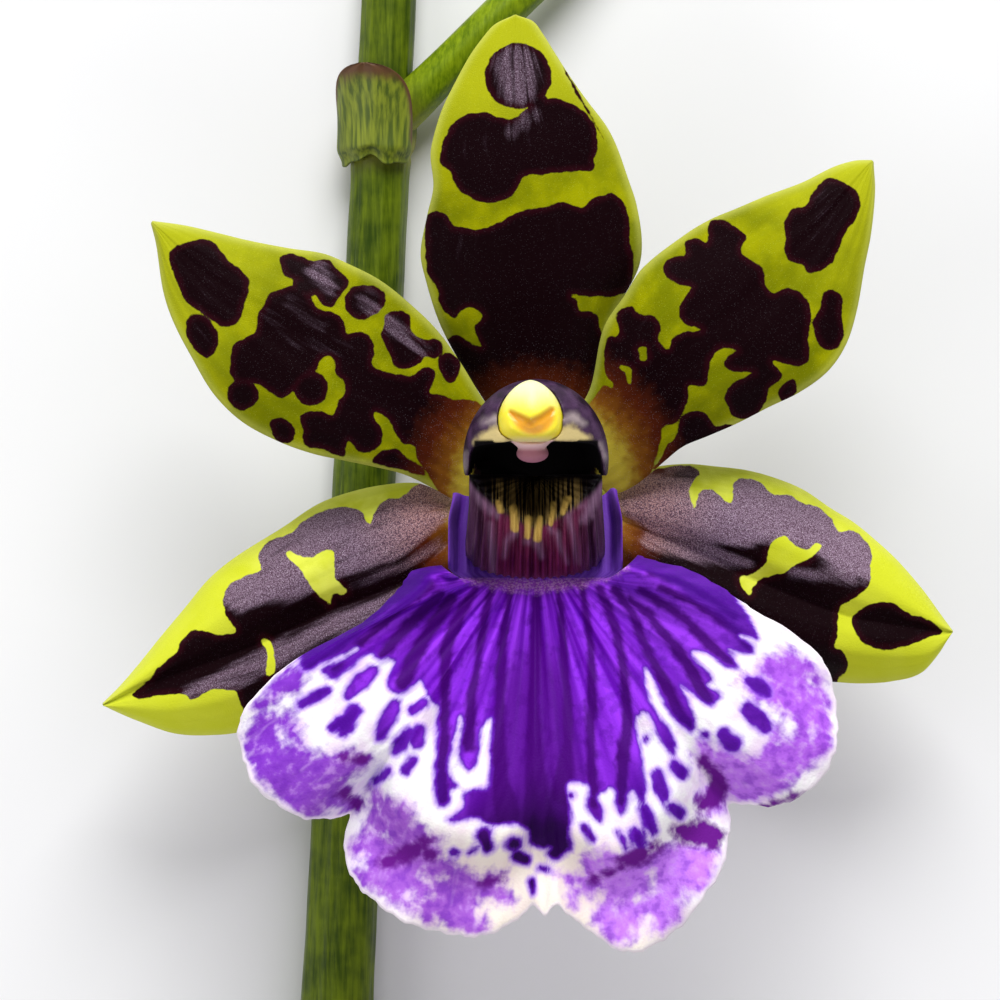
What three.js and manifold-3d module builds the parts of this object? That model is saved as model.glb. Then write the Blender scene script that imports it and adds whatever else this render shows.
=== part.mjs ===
// A zygopetalum orchid bloom on a cut length of its flower spike, laid down face up.
// Millimetres, +Z up out of the bloom's face, +Y towards the top of the bloom.
// All sizes are given from the bloom's own axis; the last lines move the origin to the middle of the footprint.

import * as THREE from 'three';
import { mergeVertices } from 'three/addons/utils/BufferGeometryUtils.js';
import Module from 'manifold-3d';

const wasm = await Module();
wasm.setup();

// ---- driving dimensions ----

const FOOTPRINT_MIDDLE = [-0.59, -6.26];   // middle of the whole cutting, seen from the bloom's axis

const GAP = 0.3;                 // clearance between neighbouring pieces
const BLADE = 0.75;              // thickness of a sepal, petal or the lip

const HUB_RADIUS = 2.6;          // receptacle that carries the whole bloom
const HUB_TOP = 20.3;
const SEPAL_LEVEL = 16.9;        // height at which the sepals leave the receptacle
const PETAL_LEVEL = 19.4;        // the petals sit one layer in front

const SPIKE_BOTTOM = [-17.6, -64];
const SPIKE_TOP = [-12.0, 45];
const SPIKE_RADIUS_BOTTOM = 3.3;
const SPIKE_RADIUS_TOP = 2.3;
const FLOWER_NODE_Y = -21;       // where the bloom's own stalk leaves the spike
const UPPER_NODE_Y = 28;         // where the next flower's stalk leaves it
const NODE_SWELL = 0.55;
const SINK = 0.12;               // a round stem is flattened by this much where it lies

const UPPER_STALK_LENGTH = 32;
const UPPER_STALK_RADIUS = 1.75;

const LIP_ROOT_Y = -9.6;         // the line where the skirt leaves the callus
const LIP_FAN_Y = -9.3;          // the point from which the skirt's edge is measured
const LIP_HALF_ROOT = 5.9;
const LIP_ROOT_LEVEL = 23.2;
const LIP_RISE = 8.4;            // how far the skirt stands forward of its root
const LIP_CREST = 0.72;          // where along the skirt it stands furthest forward
const LIP_SIDE_FALL = 5.2;       // how far the side lobes fall back
const LIP_BEND = 2.4;            // step back above the lower lobes
const LIP_FLARE = 1.3;           // and forward again at their edge
const LIP_FOLD = 2.1;            // depth of the fold at each notch
const LIP_RUFFLE = 1.0;
const NERVE_RELIEF = 0.28;
const CLAW_TOP_Y = -2.95;        // the claw starts just clear of the receptacle
const CLAW_LEVEL = 21.0;
const EAR_HALF_WIDTH = 7.0;
const EAR_RISE = 3.2;

const THROAT = [0, -1.2];        // centre that the callus bends round
const CALLUS_HALF_WIDTH = 5.65;
const CALLUS_DEPTH = 8.3;
const CALLUS_RIM_HALF_WIDTH = 4.85;
const CALLUS_RIM_DEPTH = 4.0;
const CALLUS_RIM_LEVEL = 28.6;
const CALLUS_HORN_RISE = 2.0;
const CALLUS_RIDGES = 19;

const COLUMN_FRONT_Y = -0.85;    // the column ends here and the callus carries on
const CAVITY_HALF_WIDTH = 4.95;
const CAVITY_ROOF_Y = 1.2;
const CAVITY_FLOOR_LEVEL = 25.5;

const ANTHER_CENTRE = [-0.35, 3.5, 33.6];
const ANTHER_RADII = [2.6, 2.6, 2.3];

// ---- numbers and curves ----

const radians = degrees => degrees * Math.PI / 180;
const mix = (a, b, t) => a + (b - a) * t;
const clamp01 = x => Math.min(1, Math.max(0, x));
const bell = (x, centre, width) => Math.exp(-(((x - centre) / width) ** 2));

function smoothstep(low, high, x) {
  const t = clamp01((x - low) / (high - low));
  return t * t * (3 - 2 * t);
}

// A smooth function through (x, value) points, level beyond its ends.
function curveThrough(points) {
  const slope = points.map((point, i) => {
    const before = points[Math.max(0, i - 1)];
    const after = points[Math.min(points.length - 1, i + 1)];
    return (after[1] - before[1]) / (after[0] - before[0]);
  });
  return x => {
    if (x <= points[0][0]) return points[0][1];
    if (x >= points.at(-1)[0]) return points.at(-1)[1];
    let i = 0;
    while (points[i + 1][0] < x) i++;
    const span = points[i + 1][0] - points[i][0];
    const t = (x - points[i][0]) / span;
    const rest = 1 - t;
    return points[i][1] * (1 + 2 * t) * rest * rest
      + points[i + 1][1] * t * t * (3 - 2 * t)
      + slope[i] * span * t * rest * rest
      - slope[i + 1] * span * t * t * rest;
  };
}

// ---- meshes and solids ----

function geometryFrom(positions, triangles) {
  const geometry = new THREE.BufferGeometry();
  geometry.setAttribute('position', new THREE.Float32BufferAttribute(positions, 3));
  geometry.setIndex(triangles);
  return geometry;
}

function solidFrom(geometry) {
  const bare = geometry.clone();
  bare.deleteAttribute('normal');
  bare.deleteAttribute('uv');
  const merged = mergeVertices(bare, 1e-4);
  return new wasm.Manifold(new wasm.Mesh({
    numProp: 3,
    vertProperties: new Float32Array(merged.attributes.position.array),
    triVerts: new Uint32Array(merged.index.array),
  }));
}

// The largest body of a cut solid, so that no scrap stays behind.
function geometryOf(solid) {
  const body = solid.decompose().reduce((a, b) => (a.volume() > b.volume() ? a : b));
  const mesh = body.getMesh();
  return geometryFrom(Array.from(mesh.vertProperties), Array.from(mesh.triVerts));
}

function cut(geometry, ...tools) {
  return geometryOf(tools.reduce((rest, tool) => rest.subtract(tool), solidFrom(geometry)));
}

// A closed skin over a grid of points: rings of points, closed along the rings, with both ends capped.
function loft(rings) {
  const positions = [];
  const triangles = [];
  const sides = rings[0].length;
  for (const ring of rings) for (const point of ring) positions.push(...point);
  for (let i = 0; i + 1 < rings.length; i++) {
    for (let j = 0; j < sides; j++) {
      const a = i * sides + j;
      const b = i * sides + (j + 1) % sides;
      triangles.push(a, b, b + sides, a, b + sides, a + sides);
    }
  }
  for (const [ring, turn] of [[0, 1], [rings.length - 1, 0]]) {
    const middle = positions.length / 3;
    for (let k = 0; k < 3; k++) {
      positions.push(rings[ring].reduce((sum, point) => sum + point[k], 0) / sides);
    }
    for (let j = 0; j < sides; j++) {
      const a = ring * sides + j;
      const b = ring * sides + (j + 1) % sides;
      triangles.push(middle, turn ? b : a, turn ? a : b);
    }
  }
  return geometryFrom(positions, triangles);
}

// A closed sheet from a grid of front points and the matching back points.
// Both faces are split along the same diagonals.
function sheet(front, back) {
  const rows = front.length;
  const columns = front[0].length;
  const positions = [...front.flat(2), ...back.flat(2)];
  const triangles = [];
  const behind = rows * columns;
  const at = (i, j) => i * columns + j;
  for (let i = 0; i + 1 < rows; i++) {
    for (let j = 0; j + 1 < columns; j++) {
      const [a, b, c, d] = [at(i, j), at(i, j + 1), at(i + 1, j + 1), at(i + 1, j)];
      triangles.push(a, b, c, a, c, d);
      triangles.push(behind + a, behind + c, behind + b, behind + a, behind + d, behind + c);
    }
  }
  const rim = [];
  for (let j = 0; j + 1 < columns; j++) rim.push(at(0, j));
  for (let i = 0; i + 1 < rows; i++) rim.push(at(i, columns - 1));
  for (let j = columns - 1; j > 0; j--) rim.push(at(rows - 1, j));
  for (let i = rows - 1; i > 0; i--) rim.push(at(i, 0));
  rim.forEach((a, k) => {
    const b = rim[(k + 1) % rim.length];
    triangles.push(a, behind + a, behind + b, a, behind + b, b);
  });
  return geometryFrom(positions, triangles);
}

// A sheet whose front is a height over the plane. It is thickened straight back,
// and more where it slopes, so that it stays about equally thick.
function heightSheet(rowCount, columnCount, pointAt) {
  const front = [];
  for (let i = 0; i <= rowCount; i++) {
    front.push([]);
    for (let j = 0; j <= columnCount; j++) front[i].push(pointAt(i / rowCount, j / columnCount));
  }
  const back = front.map((row, i) => row.map((point, j) => {
    const along = [front[Math.max(0, i - 1)][j], front[Math.min(rowCount, i + 1)][j]];
    const across = [row[Math.max(0, j - 1)], row[Math.min(columnCount, j + 1)]];
    const u = new THREE.Vector3(...along[1]).sub(new THREE.Vector3(...along[0]));
    const v = new THREE.Vector3(...across[1]).sub(new THREE.Vector3(...across[0]));
    const normal = u.cross(v).normalize();
    const steepness = Math.min(1.7, 1 / Math.max(0.2, Math.abs(normal.z)));
    return [point[0], point[1], point[2] - BLADE * steepness];
  }));
  return { front, back };
}

// ---- the receptacle's clearance, for every piece that is seated on it ----

const hubClearance = solidFrom(
  new THREE.CylinderGeometry(HUB_RADIUS + GAP, HUB_RADIUS + GAP, 40, 24)
    .rotateX(Math.PI / 2)
    .translate(0, 0, HUB_TOP - 20 + GAP),
);

// ---- sepals and petals ----
// Each blade has an axis from base to tip, and two edges and a midrib as distances (along, across) in mm.
// "Across" counts towards the side named by turn: +1 is left of the axis, -1 is right of it.

const TEPALS = {
  dorsal_sepal: {
    base: [0, 2.4], tip: [-1.6, 36.0], turn: -1, start: -0.6,
    near: [[-0.6, 2.2], [2, 4.2], [6.2, 5.7], [9.3, 7.0], [12.7, 9.0], [14.9, 9.4], [17.9, 9.1], [20.1, 8.5],
      [22.7, 7.7], [24.4, 6.9], [26.4, 5.5], [28.4, 4.2], [30.5, 3.0], [32.1, 2.1], [33.1, 1.35], [33.6, 0.15]],
    far: [[-0.6, -2.2], [2, -3.6], [6.2, -6.0], [9.3, -7.4], [12.7, -8.3], [14.9, -8.6], [17.9, -7.9], [20.1, -7.3],
      [22.7, -7.4], [24.4, -7.0], [26.4, -6.25], [28.4, -5.15], [30.5, -3.85], [32, -2.65], [33, -1.6],
      [33.6, -0.15]],
    rib: [[0, 0], [14, 0.4], [33.6, 0]],
    level: SEPAL_LEVEL, rise: 7.2, peak: 0.74, edgeDrop: 2.1, hump: 0, wave: [0.35, 5.2, 0.6],
  },
  left_petal: {
    base: [-2.8, 1.6], tip: [-31.0, 19.2], turn: -1, start: -0.6,
    near: [[-0.6, 1.0], [2.5, 1.9], [6.1, 3.65], [8.9, 4.8], [11.5, 5.4], [15, 5.8], [18, 5.55], [20.1, 5.2],
      [22.7, 4.1], [25.8, 2.9], [28.5, 2.0], [30.8, 1.2], [33.2, 0.15]],
    far: [[-0.6, -5.4], [0.9, -5.9], [2.5, -5.95], [5.2, -6.4], [7.7, -7.3], [10, -8.15], [12.4, -9.0], [15.2, -9.6],
      [18.5, -9.8], [21.6, -9.1], [24.7, -7.5], [27.5, -5.85], [29.5, -4.2], [32, -1.3], [33.2, -0.15]],
    rib: [[0, -1.2], [10, -1.9], [20, -2.2], [28, -1.4], [33.2, 0]],
    level: PETAL_LEVEL, rise: 5.6, peak: 0.66, edgeDrop: 1.5, hump: 0.25, wave: [0.45, 4.4, 1.0],
  },
  right_petal: {
    base: [3.2, 1.6], tip: [27.2, 24.1], turn: 1, start: -1.0,
    near: [[-1, 1.0], [1.5, 1.2], [4, 1.9], [7.9, 4.7], [11, 5.8], [13.6, 6.4], [18, 6.0], [20.2, 5.5],
      [22.3, 4.7], [24.7, 3.8], [27.6, 2.6], [30.3, 1.8], [31.9, 1.0], [32.9, 0.15]],
    far: [[-1, -5.1], [0.3, -5.65], [1.8, -5.85], [4.2, -6.1], [6.1, -6.4], [8, -7.1], [10.5, -8.0], [13.3, -8.8],
      [15.9, -9.6], [18.7, -9.9], [21.3, -9.3], [23.8, -7.9], [26.6, -5.8], [28.8, -4.2], [31.4, -1.9], [32.9, -0.15]],
    rib: [[0, -1.2], [10, -1.4], [20, -2.0], [28, -1.0], [32.9, 0]],
    level: PETAL_LEVEL, rise: 5.9, peak: 0.68, edgeDrop: 1.5, hump: 0.25, wave: [0.45, 4.9, 2.2],
  },
  left_lateral_sepal: {
    base: [-4, -3], tip: [-35.5, -20.1], turn: -1, start: -2.6,
    near: [[-2.6, 0.9], [1, 1.2], [2.8, 2.0], [4.4, 3.7], [7.2, 5.0], [10.1, 5.8], [12.6, 6.1], [15.9, 5.8],
      [20.5, 5.5], [23.3, 4.95], [26.2, 3.8], [29, 2.7], [32, 1.45], [34, 0.7], [35.84, 0.15]],
    far: [[-2.6, -1.6], [0, -2.2], [3, -3.8], [8, -6.6], [14, -8.5], [19, -9.1], [23.5, -8.5], [26.3, -7.6],
      [28.6, -6.75], [31.8, -4.9], [34.2, -2.3], [35.3, -0.9], [35.84, -0.15]],
    rib: [[0, -0.8], [4, -1.8], [9.4, -2.9], [14.9, -2.2], [19.8, -1.85], [23.7, -1.5], [31.5, -0.3], [35.84, 0]],
    level: SEPAL_LEVEL, rise: 1.2, peak: 0.42, edgeDrop: 2.6, hump: 1.7, wave: [0.3, 4.0, 0.3],
  },
  right_lateral_sepal: {
    base: [4, -3], tip: [34.4, -14.1], turn: 1, start: -2.8,
    near: [[-2.8, 0.9], [1, 1.1], [3, 1.5], [4.2, 3.2], [7.1, 5.3], [9.3, 6.0], [11.9, 6.7], [14.3, 6.9],
      [16.8, 6.8], [19.5, 6.15], [21.7, 5.7], [24.1, 4.85], [26.2, 3.95], [28.9, 2.45], [31, 1.05], [32.36, 0.15]],
    far: [[-2.8, -1.4], [0, -2.2], [2, -3.2], [6, -5.6], [12, -7.7], [18, -8.2], [22, -7.9], [24.9, -7.15],
      [27, -6.5], [29.2, -5.5], [31.2, -4.0], [32, -2.0], [32.36, -0.15]],
    rib: [[0, -0.4], [5, -0.9], [10.4, -1.2], [17.4, -1.7], [23.5, -1.75], [28, -1.0], [32.36, 0]],
    level: SEPAL_LEVEL, rise: 1.0, peak: 0.4, edgeDrop: 2.5, hump: 1.6, wave: [0.3, 4.6, 1.7],
  },
};

function tepalPoint(tepal, along, side) {
  const axis = new THREE.Vector2(...tepal.tip).sub(new THREE.Vector2(...tepal.base));
  const length = axis.length();
  axis.normalize();
  const across = new THREE.Vector2(-axis.y, axis.x).multiplyScalar(tepal.turn);
  const near = tepal.nearEdge(along);
  const far = tepal.farEdge(along);
  const rib = tepal.ribLine(along);
  const c = side > 0 ? mix(rib, near, side) : mix(rib, far, -side);
  const t = clamp01(along / length);
  const body = Math.sin(Math.PI * Math.min(1, 0.06 + 0.9 * t)) ** 0.7;   // little relief at base and tip
  const [waveSize, waves, wavePhase] = tepal.wave;
  const height = tepal.level
    + tepal.rise * (1 - (1 - along / (length * tepal.peak)) ** 2)
    - tepal.edgeDrop * body * side * side
    + tepal.hump * body * Math.sin(Math.PI * Math.min(1, Math.abs(side) / 0.95))
    + waveSize * body * side * Math.abs(side) * Math.sin(waves * Math.PI * t + wavePhase);
  return [
    tepal.base[0] + axis.x * along + across.x * c,
    tepal.base[1] + axis.y * along + across.y * c,
    height,
  ];
}

function makeTepal(name) {
  const tepal = TEPALS[name];
  tepal.nearEdge = curveThrough(tepal.near);
  tepal.farEdge = curveThrough(tepal.far);
  tepal.ribLine = curveThrough(tepal.rib);
  const end = tepal.near.at(-1)[0];
  const ROWS = 20;
  const COLUMNS = 8;
  const { front, back } = heightSheet(ROWS, COLUMNS, (u, v) => {
    const eased = Math.sin(u * Math.PI / 2) * 0.35 + u * 0.65;   // finer steps towards the tip
    return tepalPoint(tepal, mix(tepal.start, end, eased), (v * 2 - 1) * -tepal.turn);
  });
  return cut(sheet(front, back), hubClearance, ovaryStalkSolid);
}

// ---- lip ----
// The skirt's edge, as (degrees from straight down, distance in mm) seen from the lip's root,
// round by the left side lobe, the left notch, the two ruffled lower lobes, the right notch and side lobe.

const LIP_EDGE = [
  [-96, 7.6], [-92, 9.9], [-84.3, 11.1], [-76.6, 13.4], [-73.2, 16.2], [-71.3, 19.7], [-68.6, 22.8],
  [-65.5, 25.5], [-62.4, 26.9], [-57.9, 27.5], [-53.4, 27.9], [-49.2, 27.5], [-44.3, 26.8], [-41.7, 26],
  [-39.2, 25], [-37.8, 24.4], [-36.2, 25.9], [-34, 27.3], [-30.4, 28.4], [-27.2, 28.8], [-21.8, 29.3],
  [-16.2, 29.4], [-11, 29.3], [-7.9, 28.9], [-4.7, 28], [-2, 26.9], [-0.2, 26.2], [1.6, 26.9], [3.8, 26.1],
  [5.6, 27.1], [8.4, 28.4], [10.9, 29.8], [13.9, 30.9], [17.6, 31], [22.7, 30.2], [27.5, 28.8], [32.1, 27.8],
  [35, 26.6], [37, 25.7], [38.8, 24.9], [40.4, 24], [42.5, 24.9], [45.8, 26.4], [49.1, 27.2], [54.8, 27.9],
  [59.6, 27.6], [64.1, 26.8], [69.7, 25.4], [74, 23.8], [78, 20.7], [81.5, 17.4], [86.9, 14.7], [92.7, 12.1],
  [96.2, 10], [101, 8.4],
];
const LIP_NOTCHES = [-37, 40];
const LIP_NERVES = 11;
const NERVE_SPREAD = 66;         // degrees either side of straight down that carry nerves

function lipHeight(u, degrees) {
  const away = Math.abs(degrees);
  const centre = 1 - smoothstep(30, 44, away);
  let height = LIP_ROOT_LEVEL + LIP_RISE * (1 - (1 - u / LIP_CREST) ** 2);
  height -= LIP_SIDE_FALL * (away / 98) ** 2 * u ** 1.3;
  height += centre * (LIP_FLARE * smoothstep(0.86, 1, u) - LIP_BEND * smoothstep(0.7, 0.86, u));
  for (const notch of LIP_NOTCHES) height -= LIP_FOLD * bell(degrees, notch, 6) * smoothstep(0.5, 1, u);
  height += LIP_RUFFLE * u ** 4 * Math.sin(radians(degrees * 13.5 + 40));
  height += 0.4 * LIP_RUFFLE * u ** 8 * Math.sin(radians(degrees * 31));
  const nerve = Math.cos(Math.PI * degrees * LIP_NERVES / NERVE_SPREAD);
  const nerveReach = smoothstep(0, 0.12, u) * (1 - smoothstep(0.45, 0.85, u)) * (1 - smoothstep(50, 70, away));
  return height + NERVE_RELIEF * nerve * nerveReach;
}

function clawLevel(y) {
  return mix(CLAW_LEVEL, LIP_ROOT_LEVEL, (CLAW_TOP_Y - y) / (CLAW_TOP_Y - LIP_ROOT_Y));
}

function clawPoint(w, side) {
  const y = mix(CLAW_TOP_Y, LIP_ROOT_Y, w);
  const waist = smoothstep(0.86, 1, w);
  const halfWidth = mix(EAR_HALF_WIDTH, LIP_HALF_ROOT, waist) * mix(0.95, 1, smoothstep(0, 0.4, w));
  const ear = smoothstep(0.87, 1, Math.abs(side)) * (1 - waist) * smoothstep(-0.2, 0.35, w);
  return [side * halfWidth, y + 0.5 * ear, clawLevel(y) + EAR_RISE * ear];
}

function skirtPoint(u, degrees, reach) {
  const side = degrees / (degrees < 0 ? -LIP_EDGE[0][0] : LIP_EDGE.at(-1)[0]);
  const edge = [reach * Math.sin(radians(degrees)), LIP_FAN_Y - reach * Math.cos(radians(degrees))];
  return [mix(side * LIP_HALF_ROOT, edge[0], u), mix(LIP_ROOT_Y, edge[1], u), lipHeight(u, degrees)];
}

function makeLip() {
  const CLAW_ROWS = 4;
  const SKIRT_ROWS = 12;
  const rows = CLAW_ROWS + SKIRT_ROWS;
  const columns = LIP_EDGE.length - 1;
  const { front, back } = heightSheet(rows, columns, (i, j) => {
    const [degrees, reach] = LIP_EDGE[Math.round(j * columns)];
    const row = Math.round(i * rows);
    const side = degrees / (degrees < 0 ? -LIP_EDGE[0][0] : LIP_EDGE.at(-1)[0]);
    if (row < CLAW_ROWS) return clawPoint(row / CLAW_ROWS, side);
    return skirtPoint((row - CLAW_ROWS) / SKIRT_ROWS, degrees, reach);
  });
  return cut(sheet(front.map(row => [...row].reverse()), back.map(row => [...row].reverse())), hubClearance);
}

// ---- callus: the fleshy ridged collar on the lip's claw, bent in a U round the throat ----

function ovalRadius(halfWidth, depth, power, angle) {
  const x = Math.abs(Math.sin(angle)) / halfWidth;
  const y = Math.abs(Math.cos(angle)) / depth;
  return (x ** power + y ** power) ** (-1 / power);
}

function makeCallus() {
  const STEPS = 38;
  const sections = [];
  for (let i = 0; i <= STEPS; i++) {
    const angle = radians(mix(-90, 90, i / STEPS));
    const ridge = 0.2 * Math.cos(CALLUS_RIDGES * (angle + Math.PI / 2) * 2);
    const outer = ovalRadius(CALLUS_HALF_WIDTH, CALLUS_DEPTH, 4.5, angle);
    const rim = ovalRadius(CALLUS_RIM_HALF_WIDTH, CALLUS_RIM_DEPTH, 1.4, angle);
    const crest = CALLUS_RIM_LEVEL + CALLUS_HORN_RISE * Math.abs(Math.sin(angle)) ** 1.5 + ridge * 0.6;
    const place = (radius, height) => {
      const x = THROAT[0] + radius * Math.sin(angle);
      const y = THROAT[1] - radius * Math.cos(angle);
      return [x, y, height === null ? clawLevel(y) + GAP : height];
    };
    const footLevel = clawLevel(THROAT[1] - outer * Math.cos(angle)) + GAP;
    sections.push([
      place(0.4, null),
      place(outer * 0.6, null),
      place(outer, null),
      place(outer + ridge * 0.5, footLevel + 0.9),
      place(mix(rim, outer, 0.86) + ridge, mix(footLevel, crest, 0.42)),
      place(mix(rim, outer, 0.62) + ridge, mix(footLevel, crest, 0.74)),
      place(mix(rim, outer, 0.34) + ridge * 0.7, mix(footLevel, crest, 0.95)),
      place(rim + 0.25, crest),
      place(rim - 0.35, crest - 0.5),
      place(rim - 0.9, crest - 2.2),
      place(rim * 0.45, crest - 4.4),
      place(0.4, crest - 5.0),
    ]);
  }
  return loft(sections.map(section => section.reverse()));
}

// ---- column with its beak, and the anther cap that it carries ----

function ellipsoid(centre, radii, widthSegments = 18, heightSegments = 12) {
  return new THREE.SphereGeometry(1, widthSegments, heightSegments)
    .scale(...radii)
    .translate(...centre);
}

// The cap is an egg, drawn out to a blunt point at its upper end.
function antherGeometry(grow) {
  const egg = ellipsoid([0, 0, 0], ANTHER_RADII.map(radius => radius + grow), 20, 14);
  const position = egg.attributes.position;
  for (let i = 0; i < position.count; i++) {
    const y = position.getY(i) / ANTHER_RADII[1];
    const narrow = 1 - 0.2 * Math.max(0, y) ** 1.5;
    position.setXYZ(i, position.getX(i) * narrow, position.getY(i) * (1 + 0.06 * y), position.getZ(i) * narrow);
  }
  return egg.rotateZ(0.02).translate(...ANTHER_CENTRE);
}

function makeColumn() {
  // level, half-width, half-depth, middle in Y
  const sections = [
    [HUB_TOP + GAP, 2.9, 2.7, 0.3], [22.2, 3.3, 3.3, 0.5], [24.2, 4.1, 4.3, 0.4], [26.2, 4.9, 5.3, 0.2],
    [28.2, 5.5, 6.0, 0.1], [30.2, 5.75, 6.3, 0], [31.8, 5.7, 6.3, 0], [33.0, 5.2, 5.8, 0.1],
    [33.9, 4.2, 4.9, 0.3], [34.5, 2.6, 3.4, 0.9],
  ];
  const SIDES = 30;
  const body = loft(sections.map(([level, halfWidth, halfDepth, middle]) => {
    const ring = [];
    for (let j = 0; j < SIDES; j++) {
      const angle = 2 * Math.PI * j / SIDES;
      const radius = ovalRadius(halfWidth, halfDepth, 2, angle);
      ring.push([radius * Math.sin(angle), middle - radius * Math.cos(angle), level]);
    }
    return ring;
  }));
  const roof = new THREE.Shape([
    [-CAVITY_HALF_WIDTH, -9], [CAVITY_HALF_WIDTH, -9], [CAVITY_HALF_WIDTH, 0.8], [4.3, CAVITY_ROOF_Y],
    [0, CAVITY_ROOF_Y + 0.25], [-4.3, CAVITY_ROOF_Y], [-CAVITY_HALF_WIDTH, 0.8],
  ].map(point => new THREE.Vector2(...point)));
  const cavity = new THREE.ExtrudeGeometry(roof, { depth: 20, bevelEnabled: false })
    .translate(0, 0, CAVITY_FLOOR_LEVEL);
  const front = new THREE.BoxGeometry(30, 20, 60).translate(0, COLUMN_FRONT_Y - 10, 30);
  const beak = solidFrom(ellipsoid([-0.25, 1.25, 31.9], [1.6, 0.9, 1.5], 14, 10))
    .add(solidFrom(ellipsoid([-0.25, 0.5, 31.5], [1.25, 0.75, 1.1], 12, 8)));
  return geometryOf(solidFrom(body)
    .subtract(solidFrom(cavity))
    .add(beak)
    .subtract(solidFrom(antherGeometry(GAP)))
    .subtract(solidFrom(front)));
}

// ---- stems ----

// A closed tube along a smooth path. Nothing of it goes below the surface that it lies on.
function stem(points, radiusAt, sides, steps) {
  const path = new THREE.CatmullRomCurve3(points.map(point => new THREE.Vector3(...point)));
  const up = new THREE.Vector3(0, 0, 1);
  const rings = [];
  for (let i = 0; i <= steps; i++) {
    const t = i / steps;
    const centre = path.getPointAt(t);
    const tangent = path.getTangentAt(t);
    const right = new THREE.Vector3().crossVectors(tangent, up);
    if (right.length() < 0.2) right.set(0.707, -0.707, 0);
    right.normalize();
    const top = new THREE.Vector3().crossVectors(right, tangent);
    const ring = [];
    for (let j = 0; j < sides; j++) {
      const angle = 2 * Math.PI * (j + 0.5) / sides;
      const point = centre.clone()
        .addScaledVector(right, Math.cos(angle) * radiusAt(t, angle))
        .addScaledVector(top, Math.sin(angle) * radiusAt(t, angle));
      ring.push([point.x, point.y, Math.max(0, point.z)]);
    }
    rings.push(ring.reverse());
  }
  return loft(rings);
}

const SPIKE_LENGTH = SPIKE_TOP[1] - SPIKE_BOTTOM[1];
const upSpike = y => (y - SPIKE_BOTTOM[1]) / SPIKE_LENGTH;

// The middle of the spike at a given y. It lies straight, and thins towards its top.
function spikeCentre(y) {
  const t = upSpike(y);
  return [mix(SPIKE_BOTTOM[0], SPIKE_TOP[0], t), y, mix(SPIKE_RADIUS_BOTTOM, SPIKE_RADIUS_TOP, t) - SINK];
}

function spikeRadius(y) {
  const swell = bell(y, FLOWER_NODE_Y, 2.4) + bell(y, UPPER_NODE_Y, 2.2);
  return mix(SPIKE_RADIUS_BOTTOM, SPIKE_RADIUS_TOP, upSpike(y)) + NODE_SWELL * swell;
}

function spikeGeometry(grow) {
  const points = [SPIKE_BOTTOM[1], FLOWER_NODE_Y, UPPER_NODE_Y, SPIKE_TOP[1]].map(spikeCentre);
  return stem(points, t => spikeRadius(SPIKE_BOTTOM[1] + SPIKE_LENGTH * t) + grow, 12, 36);
}

function upperStalkGeometry(grow) {
  const start = spikeCentre(UPPER_NODE_Y);
  const direction = [0.715, 0.70];
  const at = (distance, level) => [start[0] + direction[0] * distance, start[1] + direction[1] * distance, level];
  const radius = UPPER_STALK_RADIUS;
  const points = [start, at(5, 3.6), at(12, 4.1), at(20, 3.7), at(27, 2.4), at(UPPER_STALK_LENGTH, radius - SINK)];
  return stem(points, t => radius + grow + 0.15 * bell(t, 0.1, 0.1), 12, 18);
}

// The bloom's stalk swells into the three-ribbed ovary, which ends in the receptacle.
function ovaryStalkGeometry(grow) {
  const radiusAt = curveThrough([[0, 1.75], [0.25, 1.6], [0.45, 1.9], [0.62, 2.4], [0.8, 2.55], [0.9, HUB_RADIUS],
    [1, HUB_RADIUS]]);
  const points = [spikeCentre(FLOWER_NODE_Y), [-13.4, -16, 6.0], [-9.6, -9.8, 8.4], [-4.6, -4.4, 10.4],
    [-1.1, -1.1, 13.0], [0, 0, 16.3], [0, 0, HUB_TOP]];
  const ribs = (t, angle) => 0.22 * Math.cos(3 * angle) * smoothstep(0.3, 0.5, t) * (1 - smoothstep(0.78, 0.9, t));
  return stem(points, (t, angle) => radiusAt(t) + grow + ribs(t, angle), 15, 26);
}

// A sheathing bract: a thin scale wrapped round the spike at a node, its tip standing away.
function bractGeometry(nodeY, facing, length) {
  const ROWS = 10;
  const COLUMNS = 10;
  const INSET = 3.0;             // how far below the node the bract starts
  const THICKNESS = 0.7;
  const HALF_WRAP = 68;          // degrees of the spike that it clasps, either side of its middle
  const TIP_LEAN = 1.9;          // how far its tip stands off the spike
  const front = [];
  const back = [];
  for (let i = 0; i <= ROWS; i++) {
    front.push([]);
    back.push([]);
    const t = i / ROWS;
    const y = nodeY - INSET + length * t;
    const centre = spikeCentre(y);
    const inner = spikeRadius(nodeY) + GAP + TIP_LEAN * t ** 2.5;
    const halfAngle = HALF_WRAP * Math.sqrt(Math.max(0.01, 1 - t ** 2.2));
    for (let j = 0; j <= COLUMNS; j++) {
      const angle = radians(facing + halfAngle * (1 - j / COLUMNS * 2));
      const point = radius => [centre[0] + radius * Math.cos(angle), centre[1], centre[2] + radius * Math.sin(angle)];
      front[i].push(point(inner + THICKNESS));
      back[i].push(point(inner));
    }
  }
  return sheet(front, back);
}

// ---- materials ----

const finish = (color, roughness) => new THREE.MeshStandardMaterial({ color, roughness, metalness: 0 });
const MATERIALS = {
  tepal: finish(0xb4bf12, 0.45),
  lip: finish(0x6a1fc0, 0.5),
  callus: finish(0x4a1238, 0.35),
  column: finish(0x2c0c22, 0.35),
  anther: finish(0xf6cf2e, 0.4),
  stem: finish(0x7f9418, 0.5),
  bract: finish(0x9a9a34, 0.55),
};

// ---- the cutting ----

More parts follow.
